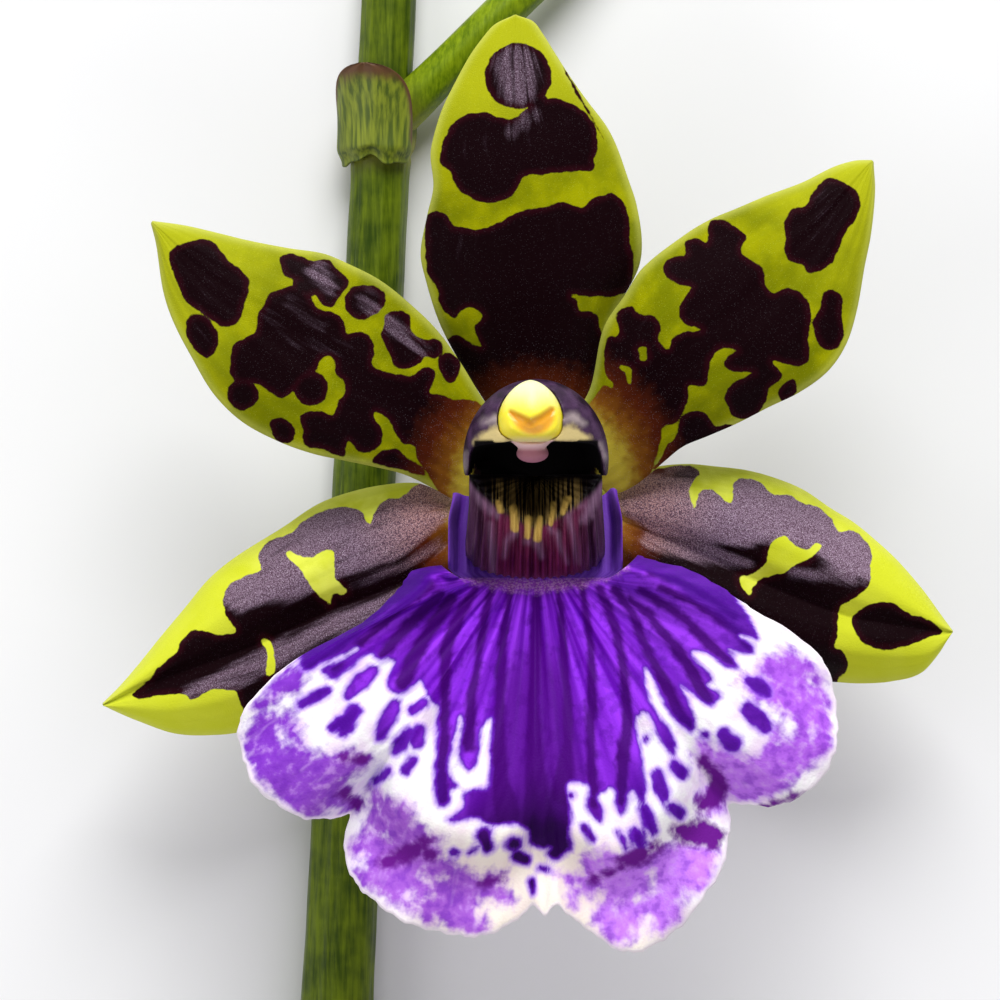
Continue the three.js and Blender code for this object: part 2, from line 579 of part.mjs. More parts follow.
const spikeSolid = solidFrom(spikeGeometry(GAP));
const upperStalkSolid = solidFrom(upperStalkGeometry(GAP));
const ovaryStalkSolid = solidFrom(ovaryStalkGeometry(GAP));

const bloom = new THREE.Group();
bloom.position.set(-FOOTPRINT_MIDDLE[0], -FOOTPRINT_MIDDLE[1], 0);

function add(name, geometry, material) {
  const mesh = new THREE.Mesh(geometry, MATERIALS[material]);
  mesh.name = name;
  bloom.add(mesh);
}

add('flower_spike', spikeGeometry(0), 'stem');
add('upper_stalk', cut(upperStalkGeometry(0), spikeSolid), 'stem');
add('ovary_stalk', cut(ovaryStalkGeometry(0), spikeSolid), 'stem');
add('spike_bract_flower', cut(bractGeometry(FLOWER_NODE_Y, 150, 10), ovaryStalkSolid), 'bract');
add('spike_bract_upper', cut(bractGeometry(UPPER_NODE_Y, 108, 8.5), upperStalkSolid), 'bract');
for (const name of Object.keys(TEPALS)) add(name, makeTepal(name), 'tepal');
add('lip', makeLip(), 'lip');
add('callus', makeCallus(), 'callus');
add('column', makeColumn(), 'column');
add('anther_cap', geometryOf(solidFrom(antherGeometry(0))), 'anther');

const cutting = new THREE.Group();
cutting.add(bloom);

export default cutting;
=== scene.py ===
"""A picked zygopetalum bloom on a cut length of its flower spike, lying face up on a pale surface."""

import bpy
import numpy as np
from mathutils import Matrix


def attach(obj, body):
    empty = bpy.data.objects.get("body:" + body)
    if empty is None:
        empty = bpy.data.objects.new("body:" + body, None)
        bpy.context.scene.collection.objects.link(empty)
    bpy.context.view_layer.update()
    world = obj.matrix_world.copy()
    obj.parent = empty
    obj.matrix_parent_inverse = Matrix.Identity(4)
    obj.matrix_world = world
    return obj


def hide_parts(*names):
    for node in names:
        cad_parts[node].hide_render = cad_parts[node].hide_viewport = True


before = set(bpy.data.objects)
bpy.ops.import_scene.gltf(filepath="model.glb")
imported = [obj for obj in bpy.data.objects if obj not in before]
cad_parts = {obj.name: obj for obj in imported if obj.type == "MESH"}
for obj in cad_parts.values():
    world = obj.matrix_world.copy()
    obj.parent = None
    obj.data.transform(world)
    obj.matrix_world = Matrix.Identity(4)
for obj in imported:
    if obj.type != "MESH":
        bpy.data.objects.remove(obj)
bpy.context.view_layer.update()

# ---------------------------------------------------------------------------
# Flower spike
# The stem of the whole inflorescence: round, smooth, fresh green and slightly
# ribbed, thinning towards its tip. It is cut across at both ends, swells where
# a flower's stalk leaves it, and is flattened a little where it lies.
# ---------------------------------------------------------------------------

MM = 0.001
FOOTPRINT_MIDDLE = np.array([-0.59, -6.26, 0.0])    # mm, from the bloom's own axis
CAP_ROWS = 3                             # rings of faces on a flat end

SPIKE_BOTTOM = (-17.6, -64.0)            # mm, across and along
SPIKE_TOP = (-12.0, 45.0)
SPIKE_RADII = (3.3, 2.3)
FLOWER_NODE_Y = -21.0
UPPER_NODE_Y = 28.0
NODE_SWELL = 0.55
SINK = 0.12                              # how far a stem is flattened where it lies


def mix(a, b, t):
    return a + (b - a) * t


def bell(x, centre, width):
    return np.exp(-(((x - centre) / width) ** 2))


def curve_through(points):
    """A smooth function through (x, value) points, level beyond its ends."""
    x, y = np.array(points, dtype=float).T
    slope = np.empty_like(y)
    slope[1:-1] = (y[2:] - y[:-2]) / (x[2:] - x[:-2])
    slope[0] = (y[1] - y[0]) / (x[1] - x[0])
    slope[-1] = (y[-1] - y[-2]) / (x[-1] - x[-2])

    def value(at):
        at = np.clip(np.asarray(at, dtype=float), x[0], x[-1])
        i = np.clip(np.searchsorted(x, at, side="right") - 1, 0, len(x) - 2)
        span = x[i + 1] - x[i]
        t = (at - x[i]) / span
        rest = 1.0 - t
        return (
            y[i] * (1.0 + 2.0 * t) * rest**2
            + y[i + 1] * t**2 * (3.0 - 2.0 * t)
            + slope[i] * span * t * rest**2
            - slope[i + 1] * span * t**2 * rest
        )

    return value


def curve_in_space(points, steps):
    """Points at even distances along a smooth curve through the given ones, and its directions."""
    points = np.array(points, dtype=float)
    knots = np.concatenate([[0.0], np.cumsum(np.linalg.norm(np.diff(points, axis=0), axis=1))])
    fine = np.linspace(0.0, knots[-1], 1200)
    path = np.stack([curve_through(list(zip(knots, points[:, k])))(fine) for k in range(3)], axis=1)
    run = np.concatenate([[0.0], np.cumsum(np.linalg.norm(np.diff(path, axis=0), axis=1))])
    even = np.linspace(0.0, run[-1], steps + 1)
    path = np.stack([np.interp(even, run, path[:, k]) for k in range(3)], axis=1)
    tangent = np.gradient(path, axis=0)
    return path, tangent / np.linalg.norm(tangent, axis=1, keepdims=True)


def tube(points, radius_at, sides, steps):
    """A closed tube along a smooth path, with no part of it below the surface that it lies on."""
    path, tangent = curve_in_space(points, steps)
    right = np.cross(tangent, [0.0, 0.0, 1.0])
    size = np.linalg.norm(right, axis=1, keepdims=True)
    right = np.where(size < 0.2, [0.707, -0.707, 0.0], right / np.maximum(size, 1e-6))
    top = np.cross(right, tangent)
    t = np.linspace(0.0, 1.0, steps + 1)[:, None]
    angle = (2.0 * np.pi * (np.arange(sides) + 0.5) / sides)[None, :]
    radius = radius_at(t, angle) * np.ones((steps + 1, sides))
    ring = (
        path[:, None, :]
        + right[:, None, :] * (np.cos(angle) * radius)[..., None]
        + top[:, None, :] * (np.sin(angle) * radius)[..., None]
    )
    ring[..., 2] = np.maximum(ring[..., 2], 0.0)
    return ring


def skin(rings, cap_rows=CAP_ROWS):
    """Vertices and faces of a closed body from a grid of rings, with flat ends."""
    first, last = rings[0].mean(axis=0), rings[-1].mean(axis=0)
    inward = np.linspace(1.0, 0.0, cap_rows + 1)[1:-1]
    ends_a = [mix(first, rings[0], share) for share in inward[::-1]]
    ends_b = [mix(last, rings[-1], share) for share in inward]
    grid = np.concatenate([np.array(ends_a), rings, np.array(ends_b)]) if ends_a else rings
    rows, sides = grid.shape[:2]
    vertices = np.concatenate([grid.reshape(-1, 3), [first, last]])
    i, j = np.meshgrid(np.arange(rows - 1), np.arange(sides), indexing="ij")
    a, b = i * sides + j, i * sides + (j + 1) % sides
    faces = np.stack([a, a + sides, b + sides, b], axis=-1).reshape(-1, 4).tolist()
    for ring, middle, turn in ((0, rows * sides, 1), (rows - 1, rows * sides + 1, -1)):
        edge = [ring * sides + k for k in range(sides)]
        for k in range(sides):
            pair = (edge[k], edge[(k + 1) % sides])[::turn]
            faces.append([middle, *pair])
    return vertices, faces


def mesh_of(name, vertices, faces):
    """A mesh from vertices in mm."""
    mesh = bpy.data.meshes.new(name)
    mesh.from_pydata((np.asarray(vertices) * MM).tolist(), [], faces)
    return mesh


def add_object(name, data):
    made = bpy.data.objects.new(name, data)
    bpy.context.scene.collection.objects.link(made)
    return made


def add_piece(name, vertices, faces, material, nodes, marks):
    """One piece of the cutting as a mesh object. Vertices are in mm from the bloom's axis;
    marks are named values at each vertex, which the material reads."""
    mesh = mesh_of(name, vertices - FOOTPRINT_MIDDLE, faces)
    for mark_name, values in marks.items():
        layer = mesh.attributes.new(mark_name, "FLOAT", "POINT")
        layer.data.foreach_set("value", np.asarray(values, dtype=np.float32).ravel())
    mesh.polygons.foreach_set("use_smooth", [True] * len(mesh.polygons))
    mesh.materials.append(material)
    mesh.update()
    piece = add_object(name, mesh)
    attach(piece, "root")
    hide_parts(*nodes)
    return piece


def feed(node, inputs):
    """Sets a shader node's inputs to values, or joins them to other nodes' outputs."""
    for socket, value in inputs.items():
        if isinstance(value, bpy.types.NodeSocket):
            node.id_data.links.new(value, node.inputs[socket])
        else:
            node.inputs[socket].default_value = value


def shader(tree, kind, inputs=None, **settings):
    made = tree.nodes.new(kind)
    for key, value in settings.items():
        setattr(made, key, value)
    feed(made, inputs or {})
    return made


def tree_of(*values):
    """The node tree that the first output among these values belongs to."""
    return next(value.id_data for value in values if isinstance(value, bpy.types.NodeSocket))


def maths(operation, *values):
    return shader(tree_of(*values), "ShaderNodeMath", dict(enumerate(values)), operation=operation).outputs[0]


def plus(a, b):
    return maths("ADD", a, b)


def minus(a, b):
    return maths("SUBTRACT", a, b)


def times(a, b):
    return maths("MULTIPLY", a, b)


def ramp(value, low, high, to_low=0.0, to_high=1.0):
    """The value eased from one range into another, and level beyond it."""
    ranges = {"Value": value, "From Min": low, "From Max": high, "To Min": to_low, "To Max": to_high}
    return shader(value.id_data, "ShaderNodeMapRange", ranges, interpolation_type="SMOOTHSTEP").outputs[0]


def blend(share, colour_a, colour_b):
    inputs = {0: share, 6: colour_a, 7: colour_b}
    return shader(tree_of(*inputs.values()), "ShaderNodeMix", inputs, data_type="RGBA").outputs[2]


def noise(vector, scale, detail, roughness=0.5):
    """A cloudy value from 0 to 1, with `scale` clouds to a unit of the vector."""
    inputs = {"Vector": vector, "Scale": scale, "Detail": detail, "Roughness": roughness}
    return shader(vector.id_data, "ShaderNodeTexNoise", inputs).outputs["Fac"]


def place_on(tree):
    """The place on the piece, in metres."""
    return shader(tree, "ShaderNodeTexCoord").outputs["Object"]


def mark(tree, name):
    """The value that the mesh carries under this name."""
    return shader(tree, "ShaderNodeAttribute", attribute_name=name).outputs["Fac"]


def paint(red, green, blue):
    """A colour given as it looks on a screen, 0 to 255, as the shader's own linear numbers."""
    srgb = np.array([red, green, blue]) / 255.0
    linear = np.where(srgb <= 0.04045, srgb / 12.92, ((srgb + 0.055) / 1.055) ** 2.4)
    return (*linear.tolist(), 1.0)


def new_material(name):
    material = bpy.data.materials.new(name)
    material.use_nodes = True
    tree = material.node_tree
    return material, tree, tree.nodes["Principled BSDF"]


def plant_skin_group():
    """Shared by every piece: the fine cells of a plant's skin, as relief, and as sparse specks that a material
    paints in as glints.
    """
    group = bpy.data.node_groups.new("plant skin", "ShaderNodeTree")
    for in_out, names in (
        ("INPUT", ("Cells Per Millimetre", "Mottle Per Millimetre")),
        ("OUTPUT", ("Cells", "Mottle", "Painted Sparkle")),
    ):
        for name in names:
            group.interface.new_socket(name, in_out=in_out, socket_type="NodeSocketFloat")
    cells_per_mm, mottle_per_mm = group.nodes.new("NodeGroupInput").outputs[:2]
    place = place_on(group)
    cell_scale = times(cells_per_mm, 1 / MM)
    cells = shader(group, "ShaderNodeTexVoronoi", {"Vector": place, "Scale": cell_scale}).outputs
    one_in_some = shader(group, "ShaderNodeSeparateColor", {"Color": cells["Color"]}).outputs["Red"]
    speck = times(one_in_some, ramp(cells["Distance"], 0.5, 0.15))
    outputs = {
        "Cells": minus(noise(place, cell_scale, 2.0, 0.7), times(cells["Distance"], 0.6)),
        "Mottle": noise(place, times(mottle_per_mm, 1 / MM), 4.0),
        "Painted Sparkle": ramp(speck, 0.62, 0.8),
    }
    feed(group.nodes.new("NodeGroupOutput"), outputs)
    return group


PLANT_SKIN = plant_skin_group()


def plant_skin(tree, cells_per_mm, mottle_per_mm):
    rates = {"Cells Per Millimetre": cells_per_mm, "Mottle Per Millimetre": mottle_per_mm}
    return shader(tree, "ShaderNodeGroup", rates, node_tree=PLANT_SKIN).outputs


def drawn_out_noise(tree, squeeze, scale, detail, roughness=0.5):
    """Noise drawn out along the spike."""
    mapping = shader(tree, "ShaderNodeMapping", {"Vector": place_on(tree), "Scale": (1.0, squeeze, 1.0)})
    return noise(mapping.outputs["Vector"], scale, detail, roughness)


def relief(height, depth_mm, strength):
    """The surface's direction where this height stands out of it, up to depth_mm."""
    inputs = {"Height": height, "Distance": depth_mm * MM, "Strength": strength}
    return shader(height.id_data, "ShaderNodeBump", inputs).outputs["Normal"]


def stem_material(name, shade, lit, cut_colour):
    """Fresh green stem skin: fine lengthwise fibres, paler flecks, and a pale pith at the cut ends."""
    material, tree, surface = new_material(name)
    skin_of = plant_skin(tree, 5.0, 0.35)
    fibres = drawn_out_noise(tree, 0.07, 3.2 / MM, 5.0, 0.6)
    tone = plus(times(fibres, 0.55), times(skin_of["Mottle"], 0.5))
    body = blend(ramp(tone, 0.35, 0.72), shade, lit)
    body = blend(times(mark(tree, "node_tone"), 0.55), body, paint(176, 170, 70))
    specks = shader(tree, "ShaderNodeTexVoronoi", {"Vector": place_on(tree), "Scale": 2.6 / MM}).outputs
    pith = blend(ramp(specks["Distance"], 0.15, 0.4), paint(120, 140, 60), cut_colour)
    inputs = {
        "Base Color": blend(mark(tree, "cut_end"), body, pith),
        "Roughness": ramp(fibres, 0.3, 0.7, 0.34, 0.5),
        "Normal": relief(plus(fibres, times(skin_of["Cells"], 0.25)), 0.06, 0.6),
        "Specular IOR Level": 0.18,
    }
    feed(surface, inputs)
    return material


def add_stem(node, path, radius_at, material, marks_of, sides, steps):
    """A tube with closed ends as a piece. marks_of gives its marks from its vertices and from their
    shares of the way along it."""
    vertices, faces = skin(tube(path, radius_at, sides, steps))
    rows = np.arange(1 - CAP_ROWS, steps + CAP_ROWS)
    t = np.append(np.repeat(np.clip(rows / steps, 0, 1), sides), [0, 1])
    add_piece(node + "_skin", vertices, faces, material, [node], marks_of(vertices, t))


def up_spike(y):
    """The share of the way up the spike at this height."""
    return (y - SPIKE_BOTTOM[1]) / (SPIKE_TOP[1] - SPIKE_BOTTOM[1])


def spike_centre(y):
    t = up_spike(y)
    return np.stack([mix(SPIKE_BOTTOM[0], SPIKE_TOP[0], t), y, mix(*SPIKE_RADII, t) - SINK], axis=-1)


def spike_radius(y):
    swell = bell(y, FLOWER_NODE_Y, 2.4) + bell(y, UPPER_NODE_Y, 2.2)
    return mix(*SPIKE_RADII, up_spike(y)) + NODE_SWELL * swell


def spike_skin_radius(t, angle):
    y = mix(SPIKE_BOTTOM[1], SPIKE_TOP[1], t)
    ribs = 0.05 * np.cos(9 * angle + 0.4 * np.sin(y * 0.11)) + 0.03 * np.cos(17 * angle + y * 0.05)
    lumps = 0.05 * np.sin(y * 0.35 + 2 * angle) + 0.03 * np.sin(y * 0.9 - angle)
    scar = 0.16 * (bell(y, FLOWER_NODE_Y - 1.9, 0.35) + bell(y, UPPER_NODE_Y - 1.9, 0.35))
    rounded_end = 0.25 * (bell(y, SPIKE_BOTTOM[1], 0.35) + bell(y, SPIKE_TOP[1], 0.35))
    return spike_radius(y) - 0.06 + ribs * 0.6 + lumps * 0.5 - scar - rounded_end


def spike_marks(vertices, _):
    y = vertices[:, 1]
    return {
        "cut_end": (y <= SPIKE_BOTTOM[1] + 1e-3) | (y >= SPIKE_TOP[1] - 1e-3),
        "node_tone": bell(y, FLOWER_NODE_Y - 1.6, 1.2) + bell(y, UPPER_NODE_Y - 1.6, 1.2),
    }


PITH = paint(206, 214, 150)
add_stem(
    "flower_spike",
    [spike_centre(y) for y in (SPIKE_BOTTOM[1], FLOWER_NODE_Y, UPPER_NODE_Y, SPIKE_TOP[1])],
    spike_skin_radius,
    stem_material("flower spike", paint(46, 66, 4), paint(104, 122, 10), PITH),
    spike_marks,
    sides=72,
    steps=420,
)

# ---------------------------------------------------------------------------
# Upper stalk
# The stalk of the next flower up, cut where that flower was. It leaves the
# spike at the upper node, arches a little and comes down to the surface.
# ---------------------------------------------------------------------------

UPPER_STALK_LENGTH = 32.0
UPPER_STALK_RADIUS = 1.75
UPPER_STALK_DIRECTION = np.array([0.715, 0.70])


def upper_stalk_point(distance, level):
    return [*(spike_centre(UPPER_NODE_Y)[:2] + UPPER_STALK_DIRECTION * distance), level]


def upper_stalk_radius(t, angle):
    ribs = 0.03 * np.cos(7 * angle + 3 * t)
    return UPPER_STALK_RADIUS - 0.04 + ribs + 0.15 * bell(t, 0.07, 0.1) - 0.18 * bell(t, 1.0, 0.012)


add_stem(
    "upper_stalk",
    [
        upper_stalk_point(1.2, 2.9),
        upper_stalk_point(5, 3.6),
        upper_stalk_point(12, 4.1),
        upper_stalk_point(20, 3.7),
        upper_stalk_point(27, 2.4),
        upper_stalk_point(UPPER_STALK_LENGTH, UPPER_STALK_RADIUS - SINK),
    ],
    upper_stalk_radius,
    stem_material("upper stalk", paint(78, 104, 2), paint(136, 158, 8), PITH),
    lambda _, t: {"cut_end": t >= 1.0, "node_tone": bell(t, 0.0, 0.08)},
    sides=48,
    steps=160,
)

# ---------------------------------------------------------------------------
# Ovary stalk
# The bloom's own stalk. It leaves the spike at the flower node, curves up and
# swells into the three-ribbed ovary, which ends in the receptacle that carries
# the sepals, the petals, the lip and the column.
# ---------------------------------------------------------------------------

HUB_RADIUS = 2.6
HUB_TOP = 20.3

ovary_radius = curve_through(
    [(0, 1.75), (0.25, 1.6), (0.45, 1.9), (0.62, 2.4), (0.8, 2.55), (0.9, HUB_RADIUS), (1, HUB_RADIUS)]
)


def smoothstep(low, high, x):
    t = np.clip((x - low) / (high - low), 0.0, 1.0)
    return t * t * (3.0 - 2.0 * t)


def ovary_skin_radius(t, angle):
    ribs = 0.22 * np.cos(3 * angle) * smoothstep(0.3, 0.5, t) * (1 - smoothstep(0.78, 0.9, t))
    return ovary_radius(t) + ribs - 0.03 + 0.02 * np.cos(11 * angle + 8 * t)


OVARY_FOOT = np.array([-13.4, -16, 6.0])
add_stem(
    "ovary_stalk",
    [
        mix(spike_centre(FLOWER_NODE_Y), OVARY_FOOT, 0.25),
        OVARY_FOOT,
        [-9.6, -9.8, 8.4],
        [-4.6, -4.4, 10.4],
        [-1.1, -1.1, 13.0],
        [0, 0, 16.3],
        [0, 0, HUB_TOP],
    ],
    ovary_skin_radius,
    stem_material("ovary", paint(70, 92, 8), paint(130, 148, 24), paint(190, 196, 110)),
    lambda vertices, t: {"cut_end": 0 * t, "node_tone": 0.3 * bell(vertices[:, 2], HUB_TOP, 2.5)},
    sides=64,
    steps=200,
)

# ---------------------------------------------------------------------------
# Bracts
# A thin papery scale at each node, grown from the spike and wrapped round it,
# with a brown dry edge and a tip that stands away.
# ---------------------------------------------------------------------------

CLEARANCE = 0.3                          # mm, between one piece and the next

BRACT_INSET = 3.0
BRACT_HALF_WRAP = 68.0                   # degrees
BRACT_TIP_LEAN = 1.9
BRACT_THICKNESS = 0.62


def closed_sheet(front, back):
    """Vertices and faces of a thin closed sheet from matching grids of front and back points."""
    rows, columns = front.shape[:2]
    vertices = np.concatenate([front.reshape(-1, 3), back.reshape(-1, 3)])
    behind = rows * columns
    i, j = np.meshgrid(np.arange(rows - 1), np.arange(columns - 1), indexing="ij")
    a = i * columns + j
    quads = np.stack([a, a + 1, a + 1 + columns, a + columns], axis=-1).reshape(-1, 4)
    rim = np.concatenate(
        [
            np.arange(columns - 1),
            np.arange(rows - 1) * columns + columns - 1,
            (rows - 1) * columns + np.arange(columns - 1, 0, -1),
            np.arange(rows - 1, 0, -1) * columns,
        ]
    )
    nxt = np.roll(rim, -1)
    edge = np.stack([rim, rim + behind, nxt + behind, nxt], axis=-1)
    return vertices, np.concatenate([quads, quads[:, ::-1] + behind, edge]).tolist()


def add_sheet(name, front, back, material, node, marks):
    """A thin closed sheet as a piece. Its marks are given on the front and are the same on the back."""
    vertices, faces = closed_sheet(front, back)
    marks = {mark_name: np.tile(np.ravel(values), 2) for mark_name, values in marks.items()}
    marks["back"] = np.repeat([0.0, 1.0], len(vertices) // 2)
    add_piece(name, vertices, faces, material, [node], marks)


def bract_grids(node_y, facing, length):
    """The bract's outer and inner faces, and how near each point is to its dry edge."""
    rows, columns = 60, 70
    t = np.linspace(0, 1, rows + 1)[:, None]
    s = np.linspace(1, -1, columns + 1)[None, :]
    lean = spike_radius(node_y) + CLEARANCE + BRACT_TIP_LEAN * t**2.5 + 0.05 * np.sin(9 * s + 5 * t)
    lean = lean - 0.2 * smoothstep(0.16, 0.0, t)
    tatters = np.cos(5 * s) + 0.5 * np.cos(11 * s + 1) + 1.2
    y = node_y - BRACT_INSET + length * t + 0.35 * smoothstep(0.25, 0.0, t) * tatters
    half = BRACT_HALF_WRAP * np.sqrt(np.maximum(0.004, 1 - t**2.2))
    angle = np.radians(facing + half * s)
    way = np.stack([np.cos(angle), np.zeros_like(angle), np.sin(angle)], axis=-1)
    centre = spike_centre(y)
    to_edge = 0.35 + 0.65 * np.sqrt(np.maximum(0.0, 1 - s**4)) * (1 - t**3)
    thickness = BRACT_THICKNESS * mix(0.35, 1.0, smoothstep(0.0, 0.2, t)) * to_edge
    edge = np.maximum(np.abs(s) ** 6, t**5) - smoothstep(0.3, 0.0, t)
    return centre + way * (lean + thickness)[..., None], centre + way * lean[..., None], edge


def bract_material():
    material, tree, surface = new_material("dry bract")
    skin_of = plant_skin(tree, 4.0, 0.5)
    veins = drawn_out_noise(tree, 0.06, 2.6 / MM, 4.0)
    green = blend(ramp(veins, 0.35, 0.65), paint(70, 88, 6), paint(132, 144, 30))
    tattered = plus(mark(tree, "bract_edge"), times(skin_of["Mottle"], 0.5))
    inputs = {
        "Base Color": blend(ramp(tattered, 0.5, 0.95), green, paint(96, 60, 30)),
        "Normal": relief(veins, 0.05, 0.7),
        "Roughness": 0.55,
    }
    feed(surface, inputs)
    return material


BRACT = bract_material()
for node, node_y, facing, length in (
    ("spike_bract_flower", FLOWER_NODE_Y, 150, 10.0),
    ("spike_bract_upper", UPPER_NODE_Y, 108, 8.5),
):
    front, back, edge = bract_grids(node_y, facing, length)
    add_sheet(node + "_scale", front, back, BRACT, node, {"bract_edge": edge})

# ---------------------------------------------------------------------------
# Sepals and petals
# Five waxy lime-green blades with maroon-black blotches. Three sepals grow from
# the receptacle first, and the two petals in a layer in front of them.
# ---------------------------------------------------------------------------

BLADE = 0.75                             # the thickness of the blades and the lip
SEPAL_LEVEL = 16.9
PETAL_LEVEL = 19.4

# Each blade is given by the axis from its base to its tip, and by its two edges and its midrib as
# distances (along, across) in mm. "turn" is the side of the axis on which the near edge lies, and
# "start" is where the blade begins along the axis. It leaves "level", climbs by "rise" to its highest
# at "peak" of its length, falls by "edge_drop" at its edges, swells by "hump" beside the midrib, and
# waves by (size, waves, phase). "spread" draws its marks a little wider about SPREAD_CENTRE, and
# "glow" moves the pale base of its blotches outwards by so many mm.
TEPALS = {
    "dorsal_sepal": dict(
        base=(0, 2.4), tip=(-1.6, 36.0), turn=-1, start=-0.6,
        near=[(-0.6, 2.2), (2, 4.2), (6.2, 5.7), (9.3, 7.0), (12.7, 9.0), (14.9, 9.4), (17.9, 9.1), (20.1, 8.5),
              (22.7, 7.7), (24.4, 6.9), (26.4, 5.5), (28.4, 4.2), (30.5, 3.0), (32.1, 2.1), (33.1, 1.35),
              (33.6, 0.15)],
        far=[(-0.6, -2.2), (2, -3.6), (6.2, -6.0), (9.3, -7.4), (12.7, -8.3), (14.9, -8.6), (17.9, -7.9),
             (20.1, -7.3), (22.7, -7.4), (24.4, -7.0), (26.4, -6.25), (28.4, -5.15), (30.5, -3.85), (32, -2.65),
             (33, -1.6), (33.6, -0.15)],
        rib=[(0, 0), (14, 0.4), (33.6, 0)],
        level=SEPAL_LEVEL, rise=7.2, peak=0.74, edge_drop=2.1, hump=0,
        wave=(0.35, 5.2, 0.6), spread=1.0, glow=-0.9,
    ),
    "left_petal": dict(
        base=(-2.8, 1.6), tip=(-31.0, 19.2), turn=-1, start=-0.6,
        near=[(-0.6, 1.0), (2.5, 1.9), (6.1, 3.65), (8.9, 4.8), (11.5, 5.4), (15, 5.8), (18, 5.55), (20.1, 5.2),
              (22.7, 4.1), (25.8, 2.9), (28.5, 2.0), (30.8, 1.2), (33.2, 0.15)],
        far=[(-0.6, -5.5), (0.9, -6.1), (2.5, -6.2), (5.2, -6.5), (7.7, -7.3), (10, -8.15), (12.4, -9.0),
             (15.2, -9.6), (18.5, -9.8), (21.6, -9.1), (24.7, -7.5), (27.5, -5.85), (29.5, -4.2), (32, -1.3),
             (33.2, -0.15)],
        rib=[(0, -1.2), (10, -1.9), (20, -2.2), (28, -1.4), (33.2, 0)],
        level=PETAL_LEVEL, rise=5.6, peak=0.66, edge_drop=1.5, hump=0.25,
        wave=(0.45, 4.4, 1.0), spread=1.0, glow=-0.7,
    ),
    "right_petal": dict(
        base=(3.2, 1.6), tip=(27.2, 24.1), turn=1, start=-1.0,
        near=[(-1, 1.0), (1.5, 1.5), (4, 2.3), (7.9, 5.0), (11, 5.8), (13.6, 6.4), (18, 6.0), (20.2, 5.5),
              (22.3, 4.7), (24.7, 3.8), (27.6, 2.6), (30.3, 1.8), (31.9, 1.0), (32.9, 0.15)],
        far=[(-1, -5.2), (0.3, -5.85), (1.8, -6.15), (4.2, -6.25), (6.1, -6.4), (8, -7.1), (10.5, -8.0),
             (13.3, -8.8), (15.9, -9.6), (18.7, -9.9), (21.3, -9.3), (23.8, -7.9), (26.6, -5.8), (28.8, -4.2),
             (31.4, -1.9), (32.9, -0.15)],
        rib=[(0, -1.2), (10, -1.4), (20, -2.0), (28, -1.0), (32.9, 0)],
        level=PETAL_LEVEL, rise=5.9, peak=0.68, edge_drop=1.5, hump=0.25,
        wave=(0.45, 4.9, 2.2), spread=1.0, glow=0.8,
    ),
    "left_lateral_sepal": dict(
        base=(-4, -3), tip=(-35.5, -20.1), turn=-1, start=-2.6,
        near=[(-2.6, 0.9), (1, 1.2), (2.8, 2.0), (4.4, 3.7), (7.2, 5.0), (10.1, 5.8), (12.6, 6.1), (15.9, 5.8),
              (20.5, 5.5), (23.3, 4.95), (26.2, 3.8), (29, 2.7), (32, 1.45), (34, 0.7), (35.84, 0.15)],
        far=[(-2.6, -1.6), (0, -2.2), (3, -3.8), (8, -6.6), (14, -8.5), (19, -9.1), (23.5, -8.5), (26.3, -7.6),
             (28.6, -6.75), (31.8, -4.9), (34.2, -2.3), (35.3, -0.9), (35.84, -0.15)],
        rib=[(0, -0.8), (4, -1.8), (9.4, -2.9), (14.9, -2.2), (19.8, -1.85), (23.7, -1.5), (31.5, -0.3),
             (35.84, 0)],
        level=SEPAL_LEVEL, rise=1.2, peak=0.42, edge_drop=2.6, hump=1.7,
        wave=(0.3, 4.0, 0.3), spread=1.016, glow=0,
    ),
    "right_lateral_sepal": dict(
        base=(4, -3), tip=(34.4, -14.1), turn=1, start=-2.8,
        near=[(-2.8, 0.9), (1, 1.4), (3, 2.5), (4, 3.6), (4.7, 4.35), (7.1, 5.5), (9.3, 6.1), (11.9, 6.7),
              (14.3, 6.9), (16.8, 6.8), (19.5, 6.15), (21.7, 5.7), (24.1, 4.85), (26.2, 3.95), (28.9, 2.45),
              (31, 1.05), (32.36, 0.15)],
        far=[(-2.8, -1.4), (0, -2.2), (2, -3.2), (6, -5.6), (12, -7.7), (18, -8.2), (22, -7.9), (24.9, -7.15),
             (27, -6.5), (29.2, -5.5), (31.2, -4.0), (32, -2.0), (32.36, -0.15)],
        rib=[(0, -0.4), (5, -0.9), (10.4, -1.2), (17.4, -1.7), (23.5, -1.75), (28, -1.0), (32.36, 0)],
        level=SEPAL_LEVEL, rise=1.0, peak=0.4, edge_drop=2.5, hump=1.6,
        wave=(0.3, 4.6, 1.7), spread=1.016, glow=0,
    ),
}

# The blotches, placed in squares of SQUARE mm with the bloom's axis at AXIS_SQUARE; x counts to the
# right and y down. A blotch is a smooth outline of points, or a run of round dabs (x, y, radius).
# "gaps" are left green inside them, as runs of dabs or as outlines. The marks of lower and higher
# pieces are drawn a little wider or closer about SPREAD_CENTRE. The dorsal sepal's thinnest run is
# painted shade along its rolled-back right edge, not a blotch.
SQUARE = 0.081
AXIS_SQUARE = (535, 460)
SPREAD_CENTRE = (-2.84, -3.24)           # mm from the bloom's axis

